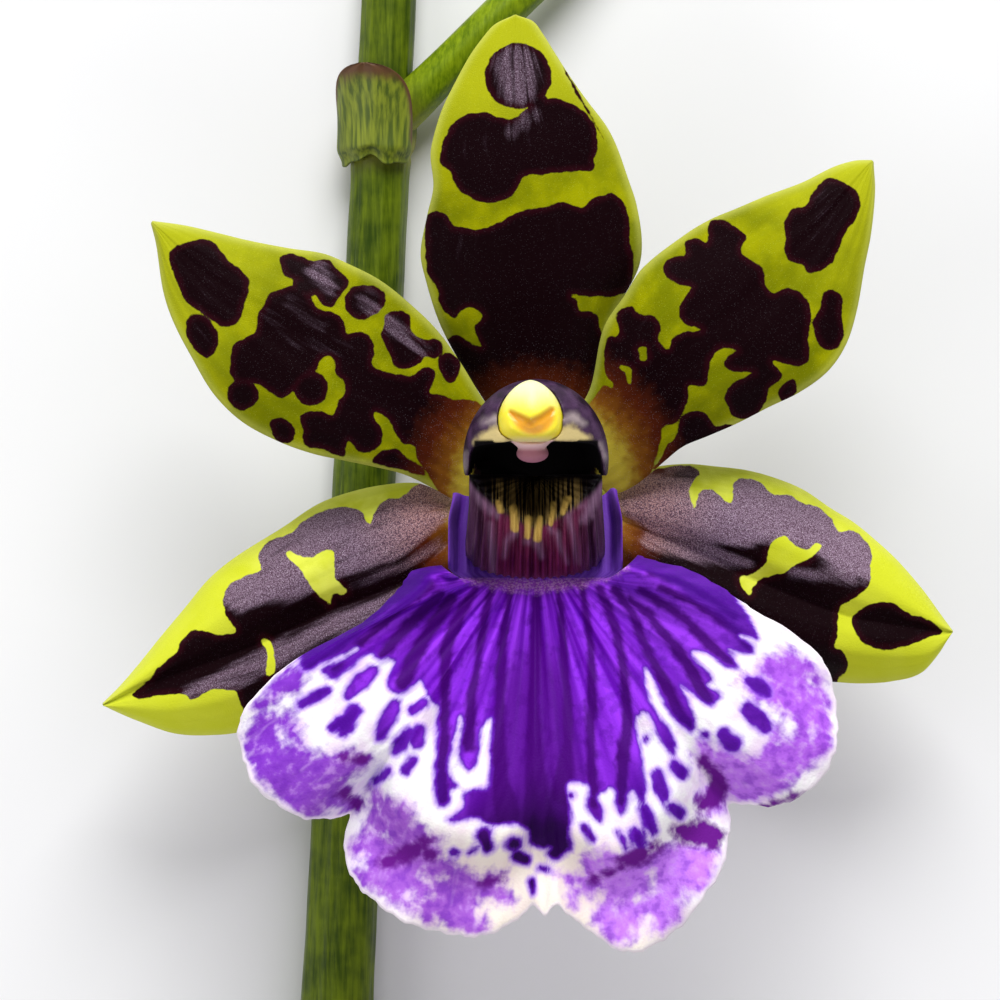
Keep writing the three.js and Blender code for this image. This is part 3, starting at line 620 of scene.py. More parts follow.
BLOTCHES = {
    "dorsal_sepal": dict(
        outlines=[
            [(440, 155), (444, 140), (452, 126), (464, 117), (480, 114), (492, 116), (503, 120), (514, 120),
             (524, 113), (534, 104), (543, 101), (556, 100), (566, 102), (578, 108), (590, 118), (596, 130),
             (597, 146), (595, 158), (592, 171), (578, 172), (560, 174), (543, 176), (528, 177), (521, 181),
             (517, 191), (510, 199), (500, 202), (488, 204), (474, 200), (462, 193), (455, 184), (451, 174),
             (446, 168), (441, 164)],
            [(425, 222), (428, 213), (437, 211), (447, 216), (454, 226), (466, 228), (478, 230), (499, 223),
             (515, 214), (539, 209), (561, 203), (573, 206), (582, 208), (589, 203), (593, 199), (603, 196),
             (612, 193), (622, 201), (629, 217), (630, 244), (634, 257), (633, 275), (630, 289), (614, 295),
             (595, 296), (578, 295), (571, 295), (577, 301), (580, 310), (591, 311), (599, 317), (602, 331),
             (610, 334), (630, 345), (615, 420), (560, 470), (510, 470), (465, 420), (440, 350), (449, 337),
             (456, 334), (464, 338), (474, 344), (481, 345), (475, 332), (474, 324), (483, 317), (479, 311),
             (471, 307), (463, 309), (455, 317), (446, 313), (439, 303), (437, 288), (427, 271), (425, 241)],
        ],
        dabs=[
            [(518, 78, 33)],
            [(534, 100, 9), (541, 108, 10)],
            # Painted shade along the rolled-back right edge.
            [(563, 68, 0.5), (577, 94, 1.5), (604, 140, 0.5)],
        ],
    ),
    "left_petal": dict(
        outlines=[
            [(170, 257), (184, 245), (207, 241), (218, 247), (230, 262), (243, 272), (251, 284), (247, 303),
             (241, 322), (227, 328), (216, 323), (197, 310), (186, 301), (180, 285)],
            [(188, 324), (195, 316), (209, 318), (219, 333), (220, 347), (209, 359), (196, 350), (189, 338)],
            [(280, 261), (291, 254), (303, 258), (314, 262), (328, 260), (337, 269), (348, 279), (348, 288),
             (340, 299), (333, 308), (323, 305), (317, 296), (308, 300), (296, 296), (298, 284), (287, 277)],
            [(348, 294), (356, 287), (370, 286), (383, 292), (386, 304), (376, 315), (360, 321), (348, 312),
             (345, 303)],
            [(387, 315), (399, 311), (409, 316), (411, 329), (418, 337), (427, 340), (436, 338), (443, 346),
             (436, 358), (426, 356), (419, 364), (406, 370), (394, 366), (390, 354), (382, 338), (384, 328)],
            [(438, 360), (448, 352), (459, 361), (459, 374), (450, 383), (440, 372)],
            [(271, 296), (282, 291), (296, 286), (306, 290), (312, 298), (316, 306), (324, 312), (337, 314),
             (345, 324), (348, 335), (360, 332), (372, 339), (375, 354), (372, 365), (381, 371), (395, 374),
             (411, 376), (422, 369), (433, 369), (435, 379), (430, 393), (445, 395), (452, 400), (471, 400),
             (485, 409), (515, 450), (505, 495), (460, 510), (432, 482), (425, 470), (417, 459), (414, 447),
             (402, 443), (395, 432), (389, 420), (376, 413), (376, 420), (382, 430), (382, 441), (372, 452),
             (358, 451), (350, 442), (346, 446), (346, 455), (340, 457), (321, 449), (308, 448), (303, 438),
             (305, 432), (301, 424), (302, 415), (317, 411), (333, 415), (339, 402), (345, 393), (345, 382),
             (337, 374), (334, 359), (324, 358), (318, 369), (308, 378), (293, 393), (283, 399), (271, 393),
             (259, 385), (240, 384), (233, 378), (232, 363), (236, 347), (248, 338), (257, 333), (259, 319),
             (265, 308)],
            [(271, 422), (280, 418), (293, 424), (296, 434), (290, 443), (278, 441), (272, 431)],
            [(372, 462), (381, 452), (395, 448), (406, 457), (422, 467), (424, 476), (406, 471), (388, 467)],
        ],
        dabs=[[(244, 395, 15.5)], [(312, 389, 17)], [(303, 285, 9), (300, 296, 9)]],
    ),
    "right_petal": dict(
        outlines=[
            [(782, 226), (788, 212), (801, 209), (809, 198), (816, 187), (828, 180), (843, 185), (855, 195),
             (858, 208), (852, 223), (843, 234), (837, 249), (830, 264), (818, 272), (806, 275), (799, 267),
             (787, 263), (782, 253), (783, 240)],
            [(810, 325), (818, 310), (821, 295), (829, 291), (840, 299), (839, 316), (842, 333), (837, 347),
             (826, 352), (817, 345)],
            [(777, 393), (782, 384), (792, 380), (796, 390), (790, 398), (781, 402)],
            [(655, 468), (661, 458), (666, 446), (675, 438), (678, 426), (683, 415), (696, 411), (708, 416),
             (715, 426), (725, 424), (734, 428), (720, 445), (690, 460), (665, 470)],
            [(707, 228), (710, 222), (721, 221), (734, 228), (744, 238), (740, 249), (742, 258), (759, 269),
             (763, 285), (770, 295), (784, 290), (797, 294), (806, 305), (808, 318), (806, 340), (807, 358),
             (803, 365), (793, 367), (780, 364), (770, 362), (779, 373), (779, 380), (768, 389), (766, 400),
             (755, 416), (737, 419), (728, 408), (724, 396), (732, 384), (746, 376), (752, 373), (732, 372),
             (723, 366), (725, 358), (735, 352), (725, 349), (717, 351), (710, 361), (707, 373), (706, 383),
             (698, 387), (688, 387), (688, 398), (681, 415), (673, 424), (662, 428), (661, 440), (656, 460),
             (640, 490), (590, 490), (570, 440), (598, 392), (606, 386), (612, 389), (613, 384), (606, 373),
             (604, 356), (607, 337), (619, 335), (616, 318), (622, 309), (632, 307), (639, 315), (653, 317),
             (660, 327), (658, 342), (668, 349), (672, 339), (683, 333), (700, 331), (683, 324), (678, 308),
             (690, 289), (679, 287), (664, 276), (665, 263), (675, 257), (684, 255), (685, 243), (696, 239),
             (706, 243)],
        ],
        gaps=[[(642, 350, 3.5), (643, 358, 3.5)], [(621, 367, 2), (628, 371, 3.5), (629, 382, 2)]],
    ),
    "left_lateral_sepal": dict(
        outlines=[
            [(133, 694), (148, 681), (161, 666), (178, 651), (182, 642), (192, 631), (207, 630), (221, 634),
             (238, 630), (228, 615), (225, 598), (231, 584), (245, 576), (262, 569), (259, 554), (270, 540),
             (291, 533), (308, 518), (333, 508), (352, 508), (362, 512), (370, 524), (376, 511), (386, 500),
             (403, 496), (430, 478), (480, 470), (520, 500), (500, 560), (420, 620), (340, 690), (270, 760),
             (243, 705), (238, 690), (224, 689), (214, 687), (204, 694), (192, 699), (185, 693), (160, 695),
             (145, 698)],
        ],
        gaps=[
            [(287, 553), (293, 551), (300, 555), (308, 557), (318, 555), (326, 550), (334, 551), (336, 558),
             (335, 566), (337, 576), (341, 583), (348, 590), (344, 594), (337, 592), (333, 596), (331, 604),
             (327, 600), (320, 594), (313, 586), (307, 578), (303, 570), (297, 563), (291, 559)],
            [(263, 639), (268, 638), (274, 645), (276, 655), (277, 665), (275, 672), (269, 676), (268, 668),
             (269, 660), (268, 650), (264, 643)],
        ],
    ),
    "right_lateral_sepal": dict(
        outlines=[
            [(657, 469), (690, 466), (700, 474), (692, 481), (688, 492), (693, 508), (699, 492), (711, 490),
             (723, 500), (731, 501), (733, 484), (742, 478), (760, 483), (772, 494), (789, 495), (801, 503),
             (817, 507), (831, 518), (838, 532), (850, 530), (862, 537), (871, 551), (868, 568), (868, 582),
             (855, 596), (840, 605), (836, 618), (836, 632), (832, 646), (841, 651), (847, 665), (838, 680),
             (800, 720), (700, 700), (600, 600), (590, 520), (620, 480)],
            [(850, 622), (857, 610), (874, 602), (893, 603), (907, 613), (923, 617), (942, 631), (926, 637),
             (914, 643), (896, 648), (878, 649), (860, 641)],
        ],
        gaps=[
            [(738, 576), (750, 574), (757, 570), (764, 561), (767, 549), (770, 541), (778, 537), (783, 535),
             (790, 542), (797, 548), (806, 549), (814, 543), (820, 546), (812, 554), (803, 560), (790, 566),
             (782, 572), (770, 575), (760, 578), (752, 586), (748, 594), (742, 590), (738, 582)],
        ],
    ),
}


# Painted sheen: where the blades catch the light, a greyish lilac sheen in their colour, as (strength, run of
# round dabs).
SHEEN = {
    "dorsal_sepal": [
        (0.62, [(515, 68, 24), (519, 88, 22)]),
        (0.5, [(530, 118, 12), (512, 134, 10)]),
        (0.2, [(475, 150, 14), (560, 128, 14)]),
        (0.12, [(470, 250, 20), (600, 230, 20)]),
    ],
    "left_petal": [
        (0.62, [(318, 272, 13), (332, 290, 10)]),
        (0.55, [(365, 300, 12), (402, 336, 12), (425, 352, 8)]),
        (0.42, [(290, 305, 8), (325, 325, 8)]),
        (0.3, [(270, 318, 12), (300, 345, 12), (345, 352, 10)]),
        (0.2, [(205, 338, 10), (215, 270, 14)]),
    ],
    "right_petal": [(0.25, [(822, 205, 14), (818, 240, 12)]), (0.15, [(828, 320, 8), (640, 330, 12)])],
    "left_lateral_sepal": [
        (0.84, [(430, 498, 30), (385, 525, 38), (330, 540, 40), (285, 568, 34), (240, 590, 22)]),
        (0.75, [(440, 545, 8), (400, 566, 6), (350, 584, 4)]),
        (0.72, [(410, 592, 10), (360, 614, 12), (320, 632, 13), (280, 652, 14), (240, 674, 14), (190, 692, 8)]),
    ],
    "right_lateral_sepal": [
        (1.0, [(640, 498, 26), (665, 505, 32), (710, 512, 34), (742, 512, 36)]),
        (1.0, [(742, 505, 36), (790, 515, 32), (825, 530, 26), (852, 556, 24), (866, 572, 12)]),
        (0.75, [(650, 540, 12), (700, 552, 13), (745, 562, 9)]),
        (0.65, [(790, 572, 7), (850, 574, 12)]),
        (0.7, [(672, 470, 12), (696, 473, 9)]),
    ],
}


BASE_GLOW = (0.0, -2.5)                  # mm; the blotches' bases grow paler towards here
FAR = 1e9

# The column's half width and depth where it is broadest. Below it the blades
# are painted nearly black, as painted shade under the column.
COLUMN_HALF_WIDTH = 5.75
COLUMN_HALF_DEPTH = 6.3


def in_squares(xy_mm, spread):
    x, y = ((xy_mm - SPREAD_CENTRE) / spread + SPREAD_CENTRE).T
    return np.stack([x / SQUARE + AXIS_SQUARE[0], AXIS_SQUARE[1] - y / SQUARE], axis=1)


def smooth_loop(points, fine=4):
    """A closed smooth curve through the outline's points."""
    p = np.array(points, dtype=float)
    before, after, beyond = np.roll(p, 1, 0), np.roll(p, -1, 0), np.roll(p, -2, 0)
    t = (np.arange(fine) / fine)[None, :, None]
    a, b, c, d = (q[:, None, :] for q in (before, p, after, beyond))
    loop = 0.5 * (2 * b + (c - a) * t + (2 * a - 5 * b + 4 * c - d) * t**2 + (3 * b - a - 3 * c + d) * t**3)
    return loop.reshape(-1, 2)


def to_segment(xy, a, b):
    """Distance from each point to the straight piece from a to b, and how far along it the foot is."""
    way = b - a
    share = np.clip(((xy - a) @ way) / max(way @ way, 1e-12), 0, 1)
    return np.linalg.norm(xy - a - share[:, None] * way, axis=1), share


def outline_distance(xy, points):
    """Distance in squares to an outline, less than zero inside it."""
    loop = smooth_loop(points)
    nearest = np.full(len(xy), FAR)
    inside = np.zeros(len(xy), dtype=bool)
    for a, b in zip(loop, np.roll(loop, -1, 0)):
        nearest = np.minimum(nearest, to_segment(xy, a, b)[0])
        crosses = (a[1] > xy[:, 1]) != (b[1] > xy[:, 1])
        height = b[1] - a[1] if b[1] != a[1] else 1e-9
        inside ^= crosses & (xy[:, 0] < (b[0] - a[0]) * (xy[:, 1] - a[1]) / height + a[0])
    return np.where(inside, -nearest, nearest)


def dabs_distance(xy, dabs):
    """Distance in squares to a run of round dabs, less than zero inside it."""
    dabs = np.array(dabs, dtype=float)
    nearest = np.full(len(xy), FAR)
    for a, b in zip(dabs, dabs[1:] if len(dabs) > 1 else dabs):
        distance, share = to_segment(xy, a[:2], b[:2])
        nearest = np.minimum(nearest, distance - mix(a[2], b[2], share))
    return nearest


def marks_distance(xy_mm, outlines=(), dabs=(), gaps=(), spread=1.0):
    """Distance in mm from each point to the nearest mark's edge, less than zero inside one."""
    xy = in_squares(xy_mm, spread)
    nearest = np.full(len(xy), FAR)
    for outline in outlines:
        nearest = np.minimum(nearest, outline_distance(xy, outline))
    for run in dabs:
        nearest = np.minimum(nearest, dabs_distance(xy, run))
    for gap in gaps:
        to_gap = dabs_distance(xy, gap) if len(gap[0]) == 3 else outline_distance(xy, gap)
        nearest = np.maximum(nearest, -to_gap)
    return nearest * SQUARE


def sheen_strength(xy_mm, patches, spread):
    """The strongest of the sheen's patches at each point, each fading out round its edge."""
    strength = np.zeros(len(xy_mm))
    for most, dabs in patches:
        distance = dabs_distance(in_squares(xy_mm, spread), dabs)
        strength = np.maximum(strength, most * smoothstep(9.0, -9.0, distance))
    return strength


def tepal_points(tepal, along, side):
    base, tip = np.array(tepal["base"], float), np.array(tepal["tip"], float)
    length = np.linalg.norm(tip - base)
    axis = (tip - base) / length
    across = np.array([-axis[1], axis[0]]) * tepal["turn"]
    near = curve_through(tepal["near"])(along)
    far = curve_through(tepal["far"])(along)
    rib = curve_through(tepal["rib"])(along)
    c = np.where(side > 0, mix(rib, near, side), mix(rib, far, -side))
    t = np.clip(along / length, 0, 1)
    body = np.sin(np.pi * np.minimum(1, 0.06 + 0.9 * t)) ** 0.7
    wave_size, waves, wave_phase = tepal["wave"]
    height = (
        tepal["level"]
        + tepal["rise"] * (1 - (1 - along / (length * tepal["peak"])) ** 2)
        - tepal["edge_drop"] * body * side**2
        + tepal["hump"] * body * np.sin(np.pi * np.minimum(1, np.abs(side) / 0.95))
        + wave_size * body * side * np.abs(side) * np.sin(waves * np.pi * t + wave_phase)
    )
    veins = 0.035 * body * np.cos(side * 26 + 0.6 * np.sin(along * 0.5)) * (1 - side**4)
    ripple = 0.05 * body * np.sin(along * 0.9 + side * 3.0) * np.cos(side * 5.0 - along * 0.31)
    xy = base + axis * along[..., None] + across * c[..., None]
    return np.concatenate([xy, (height + veins + ripple)[..., None]], axis=-1), t, c, near, far


def backed(front, thickness):
    """The back of a sheet, set straight back from its front, further where it slopes."""
    u = np.gradient(front, axis=0)
    v = np.gradient(front, axis=1)
    normal = np.cross(u, v)
    steep = np.linalg.norm(normal, axis=-1) / np.maximum(np.abs(normal[..., 2]), 1e-9)
    back = front.copy()
    back[..., 2] -= thickness * np.clip(steep, 1.0, 1.7)
    return back


def layered(colour, *layers):
    """A colour with others laid over it in turn, each given as (share, colour)."""
    for share, over in layers:
        colour = blend(share, colour, over)
    return colour


def flat_vector(x, y):
    return shader(x.id_data, "ShaderNodeCombineXYZ", {"X": x, "Y": y}).outputs[0]


def tepal_material(name, lime_shade, lime_lit, lime_tip, tip_from, tip_to):
    """Waxy lime-green skin with maroon-black blotches. Where a blotch runs down to the base of the
    blade it fades through red-brown to olive. Fine painted glints sit on the skin's cells, and a greyish
    lilac painted sheen is laid where the marks ask for it, which breaks up into streaks along the blade."""
    material, tree, surface = new_material(name)
    skin_of = plant_skin(tree, 10.0, 0.32)
    side, from_base = mark(tree, "side"), mark(tree, "from_base")
    off = minus(noise(place_on(tree), 1.3 / MM, 4.0), 0.5)
    depth = plus(mark(tree, "blotch"), times(off, 0.42))
    grain = ramp(skin_of["Cells"], 0.0, 0.42)

    vein = maths("COSINE", times(side, 34.0))
    lime = layered(
        blend(ramp(skin_of["Mottle"], 0.35, 0.68), lime_shade, lime_lit),
        (times(ramp(vein, 0.4, 1.0), 0.09), paint(92, 112, 0)),
        (ramp(from_base, tip_from, tip_to, 0.0, 0.9), lime_tip),
        (times(mark(tree, "rim"), 0.4), paint(210, 214, 110)),
        (times(skin_of["Painted Sparkle"], 0.25), paint(234, 236, 96)),
    )

    # Painted sheen and painted glints, laid over the blotches' dark colour.
    streaks = noise(flat_vector(times(side, 13.0), times(from_base, 0.2)), 1.0, 3.0)
    sheen = plus(minus(mark(tree, "sheen"), 0.34), times(minus(streaks, 0.5), 1.3))
    sheen = times(ramp(sheen, -0.1, 0.5), mark(tree, "sheen"))
    tint = blend(ramp(from_base, 16.0, 9.0), paint(162, 138, 160), paint(206, 162, 158))
    glints = plus(ramp(from_base, 15.0, 9.0, 0.05, 0.18), times(sheen, 0.75))
    to_base = plus(from_base, times(off, 1.8))
    dark = layered(
        blend(ramp(depth, -0.7, -0.05, 1.0, 0.0), paint(40, 3, 13), paint(18, 1, 5)),
        (ramp(to_base, 12.4, 9.6), paint(84, 32, 12)),
        (ramp(to_base, 10.2, 7.6), paint(136, 84, 22)),
        (ramp(to_base, 8.3, 6.0), paint(206, 186, 62)),
        (times(sheen, 0.92), blend(grain, paint(96, 72, 88), tint)),
        (times(skin_of["Painted Sparkle"], glints), paint(226, 212, 224)),
    )

    # Painted shade: nearly black where the blade lies under the column.
    colour = layered(lime, (ramp(depth, -0.06, 0.06, 1.0, 0.0), dark), (mark(tree, "shade_under_column"), paint(14, 2, 6)))
    under = blend(0.5, paint(150, 160, 50), colour)
    inputs = {
        "Base Color": blend(times(mark(tree, "back"), 0.6), colour, under),
        "Roughness": ramp(grain, 0.0, 1.0, 0.5, 0.66),
        "Normal": relief(plus(skin_of["Cells"], times(vein, 0.25)), 0.05, 0.6),
        "Specular IOR Level": 0.04,
    }
    feed(surface, inputs)
    return material


UPPER_WAX = tepal_material(
    "blotched wax, upper tepals", paint(121, 127, 0), paint(157, 159, 0), paint(176, 180, 24), 24.0, 37.0
)
# The lateral sepals' lime is painted lighter towards their base, as painted light where the petals shade them,
# and darker towards the tips.
LATERAL_WAX = tepal_material(
    "blotched wax, lateral sepals", paint(204, 212, 44), paint(234, 240, 104), paint(208, 215, 44), 12.0, 30.0
)


def add_tepal(node):
    tepal = TEPALS[node]
    rows, columns = 190, 110
    u = np.linspace(0, 1, rows + 1)
    eased = np.sin(u * np.pi / 2) * 0.35 + u * 0.65
    along = mix(tepal["start"], tepal["near"][-1][0], eased)[:, None] * np.ones((1, columns + 1))
    side = np.linspace(-1, 1, columns + 1)
    side = (np.sin(side * np.pi / 2) * 0.4 + side * 0.6)[None, :] * np.ones((rows + 1, 1)) * -tepal["turn"]
    front, t, across, near, far = tepal_points(tepal, along, side)
    to_rim = np.minimum(near - across, across - far)
    thickness = BLADE * (0.3 + 0.66 * np.sqrt(np.clip(to_rim / 1.6, 0, 1)) * (1 - 0.5 * t**6))
    front[..., 2] -= 0.1 * bell(to_rim, 0, 0.12)
    back = backed(front, thickness)

    # The blade starts round the receptacle, a clearance away from it.
    for face in (front, back):
        reach = np.linalg.norm(face[..., :2], axis=-1)
        hold = HUB_RADIUS + CLEARANCE + 0.02
        push = np.where(reach < hold, hold / np.maximum(reach, 1e-3), 1.0)
        face[..., :2] *= push[..., None]

    xy = front.reshape(-1, 3)[:, :2]
    under_column = np.hypot(xy[:, 0] / COLUMN_HALF_WIDTH, np.maximum(xy[:, 1], 0) / COLUMN_HALF_DEPTH)
    marks = {
        "blotch": marks_distance(xy, **BLOTCHES[node], spread=tepal["spread"]),
        "side": side,
        "rim": bell(to_rim, 0, 0.45),
        "from_base": np.linalg.norm(xy - BASE_GLOW, axis=1) - tepal["glow"],
        "shade_under_column": smoothstep(0.94, 0.86, under_column),
        "sheen": sheen_strength(xy, SHEEN[node], tepal["spread"]),
    }
    material = LATERAL_WAX if "lateral" in node else UPPER_WAX
    add_sheet(node + "_blade", front, back, material, node, marks)


for node in TEPALS:
    add_tepal(node)

# ---------------------------------------------------------------------------
# Lip
# The third petal, broad and violet. Its claw runs forward from the receptacle
# under the callus with a small ear on each side, then opens into a convex
# skirt with radiating nerves, two side lobes and two ruffled lower lobes.
# ---------------------------------------------------------------------------

LIP_ROOT_Y = -9.6
LIP_FAN_Y = -9.3
LIP_HALF_ROOT = 5.9
LIP_ROOT_LEVEL = 23.2
LIP_RISE = 8.4
LIP_CREST = 0.72
LIP_SIDE_FALL = 5.2
LIP_BEND = 2.4
LIP_FLARE = 1.3
LIP_FOLD = 2.1
LIP_RUFFLE = 1.0
LIP_NOTCHES = (-37, 40)
LIP_SPREAD = 0.986
LIP_NERVES = 11
NERVE_SPREAD = 66
NERVE_RELIEF = 0.28
CLAW_TOP_Y = -2.95
CLAW_LEVEL = 21.0
EAR_HALF_WIDTH = 7.0
EAR_RISE = 3.2

# The skirt's edge, as (degrees from straight down, distance in mm) seen from its fan point.
LIP_EDGE = [
    (-96, 7.6), (-92, 9.9), (-84.3, 11.1), (-76.6, 13.4), (-73.2, 16.2), (-71.3, 19.7), (-68.6, 22.8),
    (-65.5, 25.5), (-62.4, 26.9), (-57.9, 27.5), (-53.4, 27.9), (-49.2, 27.5), (-44.3, 26.8), (-41.7, 26),
    (-39.2, 25), (-37.8, 24.4), (-36.2, 25.9), (-34, 27.3), (-30.4, 28.4), (-27.2, 28.8), (-21.8, 29.3),
    (-16.2, 29.4), (-11, 29.3), (-7.9, 28.9), (-4.7, 28), (-2, 26.9), (-0.2, 26.2), (1.6, 26.9), (3.8, 26.1),
    (5.6, 27.1), (8.4, 28.4), (10.9, 29.8), (13.9, 30.9), (17.6, 31), (22.7, 30.2), (27.5, 28.8), (32.1, 27.8),
    (35, 26.6), (37, 25.7), (38.8, 24.9), (40.4, 24), (42.5, 24.9), (45.8, 26.4), (49.1, 27.2), (54.8, 27.9),
    (59.6, 27.6), (64.1, 26.8), (69.7, 25.4), (74, 23.8), (78, 20.7), (81.5, 17.4), (86.9, 14.7), (92.7, 12.1),
    (96.2, 10), (101, 8.4),
]


# The lip's markings on the same squares, as outlines or as runs of dabs. The rest of it is white.
LIP_VIOLET = [
    (440, 535), (405, 550), (375, 585), (345, 615), (320, 638), (300, 655), (303, 667), (312, 669), (322, 664),
    (335, 658), (347, 652), (358, 647), (352, 654), (338, 661), (325, 667), (323, 671), (329, 676), (336, 678),
    (346, 671), (357, 663), (366, 655), (373, 653), (379, 660), (391, 658), (394, 663), (389, 674), (388, 684),
    (396, 692), (406, 691), (415, 685), (421, 679), (426, 690), (432, 700), (438, 706), (437, 725), (436, 750),
    (435, 775), (434, 787), (438, 801), (445, 803), (451, 798), (450, 788), (458, 784), (452, 777), (449, 765),
    (452, 745), (456, 727), (460, 714), (463, 725), (461, 745), (460, 757), (465, 767), (471, 768), (477, 759),
    (479, 745), (480, 731), (485, 721), (491, 717), (492, 730), (489, 745), (490, 760), (489, 775), (486, 785),
    (474, 786), (464, 793), (463, 803), (457, 810), (446, 815), (452, 820), (470, 815), (485, 820), (500, 822),
    (510, 822), (520, 823), (527, 830), (528, 841), (540, 846), (551, 845), (546, 853), (557, 858), (567, 851),
    (572, 844), (569, 832), (571, 815), (569, 798), (567, 783), (577, 780), (587, 784), (585, 796), (585, 806),
    (592, 815), (600, 820), (601, 806), (598, 793), (604, 789), (609, 785), (614, 790), (614, 801), (620, 812),
    (626, 805), (627, 792), (632, 788), (637, 796), (642, 798), (645, 785), (642, 770), (640, 750), (637, 735),
    (635, 720), (640, 712), (648, 713), (655, 730), (665, 747), (673, 753), (674, 742), (665, 725), (655, 710),
    (648, 696), (645, 680), (644, 667), (650, 673), (657, 690), (665, 706), (676, 720), (690, 730), (693, 718),
    (688, 702), (680, 690), (679, 683), (690, 690), (703, 702), (712, 705), (718, 693), (706, 684), (713, 678),
    (703, 667), (694, 659), (691, 651), (700, 650), (712, 656), (723, 665), (737, 668), (734, 658), (727, 650),
    (733, 649), (745, 653), (753, 651), (750, 643), (739, 636), (746, 635), (756, 638), (753, 628), (748, 618),
    (744, 608), (736, 598), (735, 580), (715, 560), (690, 550), (640, 535),
]
LIP_FLECKS = [
    [(372, 670, 6), (362, 680, 9), (350, 692, 6)],
    [(355, 709, 8), (347, 722, 10), (345, 731, 5)],
    [(340, 720, 7), (333, 727, 4)],
    [(328, 689, 5), (317, 695, 6), (304, 703, 5)],
    [(396, 703, 6), (389, 717, 8), (382, 732, 7)],
    [(425, 702, 5), (413, 708, 5)],
    [(420, 728, 6), (417, 738, 8)],
    [(410, 730, 5), (401, 742, 8), (396, 750, 4)],
    [(389, 770, 4), (376, 781, 4)],
    [(414, 758, 4), (407, 768, 5)],
    [(513, 841, 8.5)],
    [(518, 855, 7), (525, 858, 6)],
    [(484, 832, 9), (488, 845, 6)],
    [(477, 845, 3), (471, 850, 3)],
    [(455, 850, 5)],
    [(656, 772, 6), (660, 788, 7), (662, 795, 5)],
    [(673, 763, 6), (681, 770, 7)],
    [(670, 805, 6), (680, 812, 6)],
    [(643, 807, 6), (648, 820, 7), (652, 828, 5)],
    [(584, 824, 4), (591, 835, 4)],
    [(617, 829, 3), (625, 845, 4)],
    [(633, 828, 5), (642, 843, 6)],
    [(645, 736, 4)],
    [(746, 679, 5), (757, 685, 8), (765, 690, 6)],
    [(746, 708, 7), (755, 717, 9), (764, 725, 7)],
    [(722, 732, 7), (730, 742, 9)],
    [(704, 733, 4)],
    [(540, 866, 4), (547, 868, 3)],
    [(531, 880, 3), (533, 890, 2)],
    [(570, 793, 4)],
]
LIP_LAVENDER = [
    [(290, 668), (303, 672), (303, 682), (295, 690), (285, 695), (275, 703), (255, 707), (262, 700), (268, 690),
     (275, 680)],
    [(262, 712), (283, 711), (300, 720), (301, 735), (316, 752), (345, 750), (368, 756), (366, 768), (348, 775),
     (350, 790), (362, 805), (350, 813), (330, 808), (310, 816), (290, 808), (272, 790), (257, 770), (247, 752),
     (243, 738), (250, 728)],
    [(372, 786), (369, 800), (375, 805), (368, 815), (365, 830), (360, 838), (353, 846), (353, 853), (366, 856),
     (366, 868), (355, 873), (365, 884), (378, 892), (390, 899), (402, 903), (420, 912), (428, 921), (440, 914),
     (455, 928), (468, 935), (488, 932), (485, 922), (479, 910), (480, 897), (495, 900), (512, 903), (506, 893),
     (502, 884), (508, 878), (498, 872), (480, 878), (466, 870), (455, 862), (440, 858), (443, 845), (440, 834),
     (430, 832), (420, 825), (412, 815), (407, 800), (400, 797), (385, 795)],
    [(585, 868), (583, 856), (595, 852), (600, 845), (615, 850), (640, 850), (660, 846), (690, 845), (712, 850),
     (718, 857), (711, 865), (707, 876), (702, 886), (690, 890), (680, 896), (679, 910), (676, 922), (664, 930),
     (656, 928), (650, 914), (641, 917), (635, 930), (628, 938), (616, 942), (607, 936), (598, 922), (598, 908),
     (606, 897), (600, 886), (590, 893), (576, 892), (573, 903), (569, 893), (577, 884), (563, 880), (559, 873),
     (572, 873)],
    [(775, 655), (790, 652), (805, 660), (816, 670), (823, 682), (827, 700), (828, 725), (826, 745), (815, 758),
     (800, 771), (783, 785), (765, 795), (745, 803), (728, 801), (715, 812), (698, 808), (704, 790), (714, 780),
     (706, 768), (697, 758), (694, 748), (702, 742), (713, 748), (722, 746), (735, 752), (748, 756), (762, 748),
     (767, 738), (766, 728), (774, 726), (785, 738), (795, 731), (790, 718), (776, 708), (765, 700), (752, 696),
     (742, 686), (738, 677), (749, 676), (762, 680), (766, 673), (756, 668), (763, 660)],
]
LIP_PALE_SPOTS = [
    [(282, 734, 4), (292, 741, 4)],
    [(387, 835, 4)],
    [(424, 875, 4)],
    [(442, 878, 5)],
    [(413, 892, 4), (415, 902, 3)],
    [(430, 895, 4)],
    [(652, 876, 5), (653, 890, 4)],
    [(640, 897, 4)],
    [(768, 675, 2)],
    [(812, 732, 5)],
    [(810, 682, 5)],
    [(776, 742, 4)],
    [(617, 903, 3)],
]
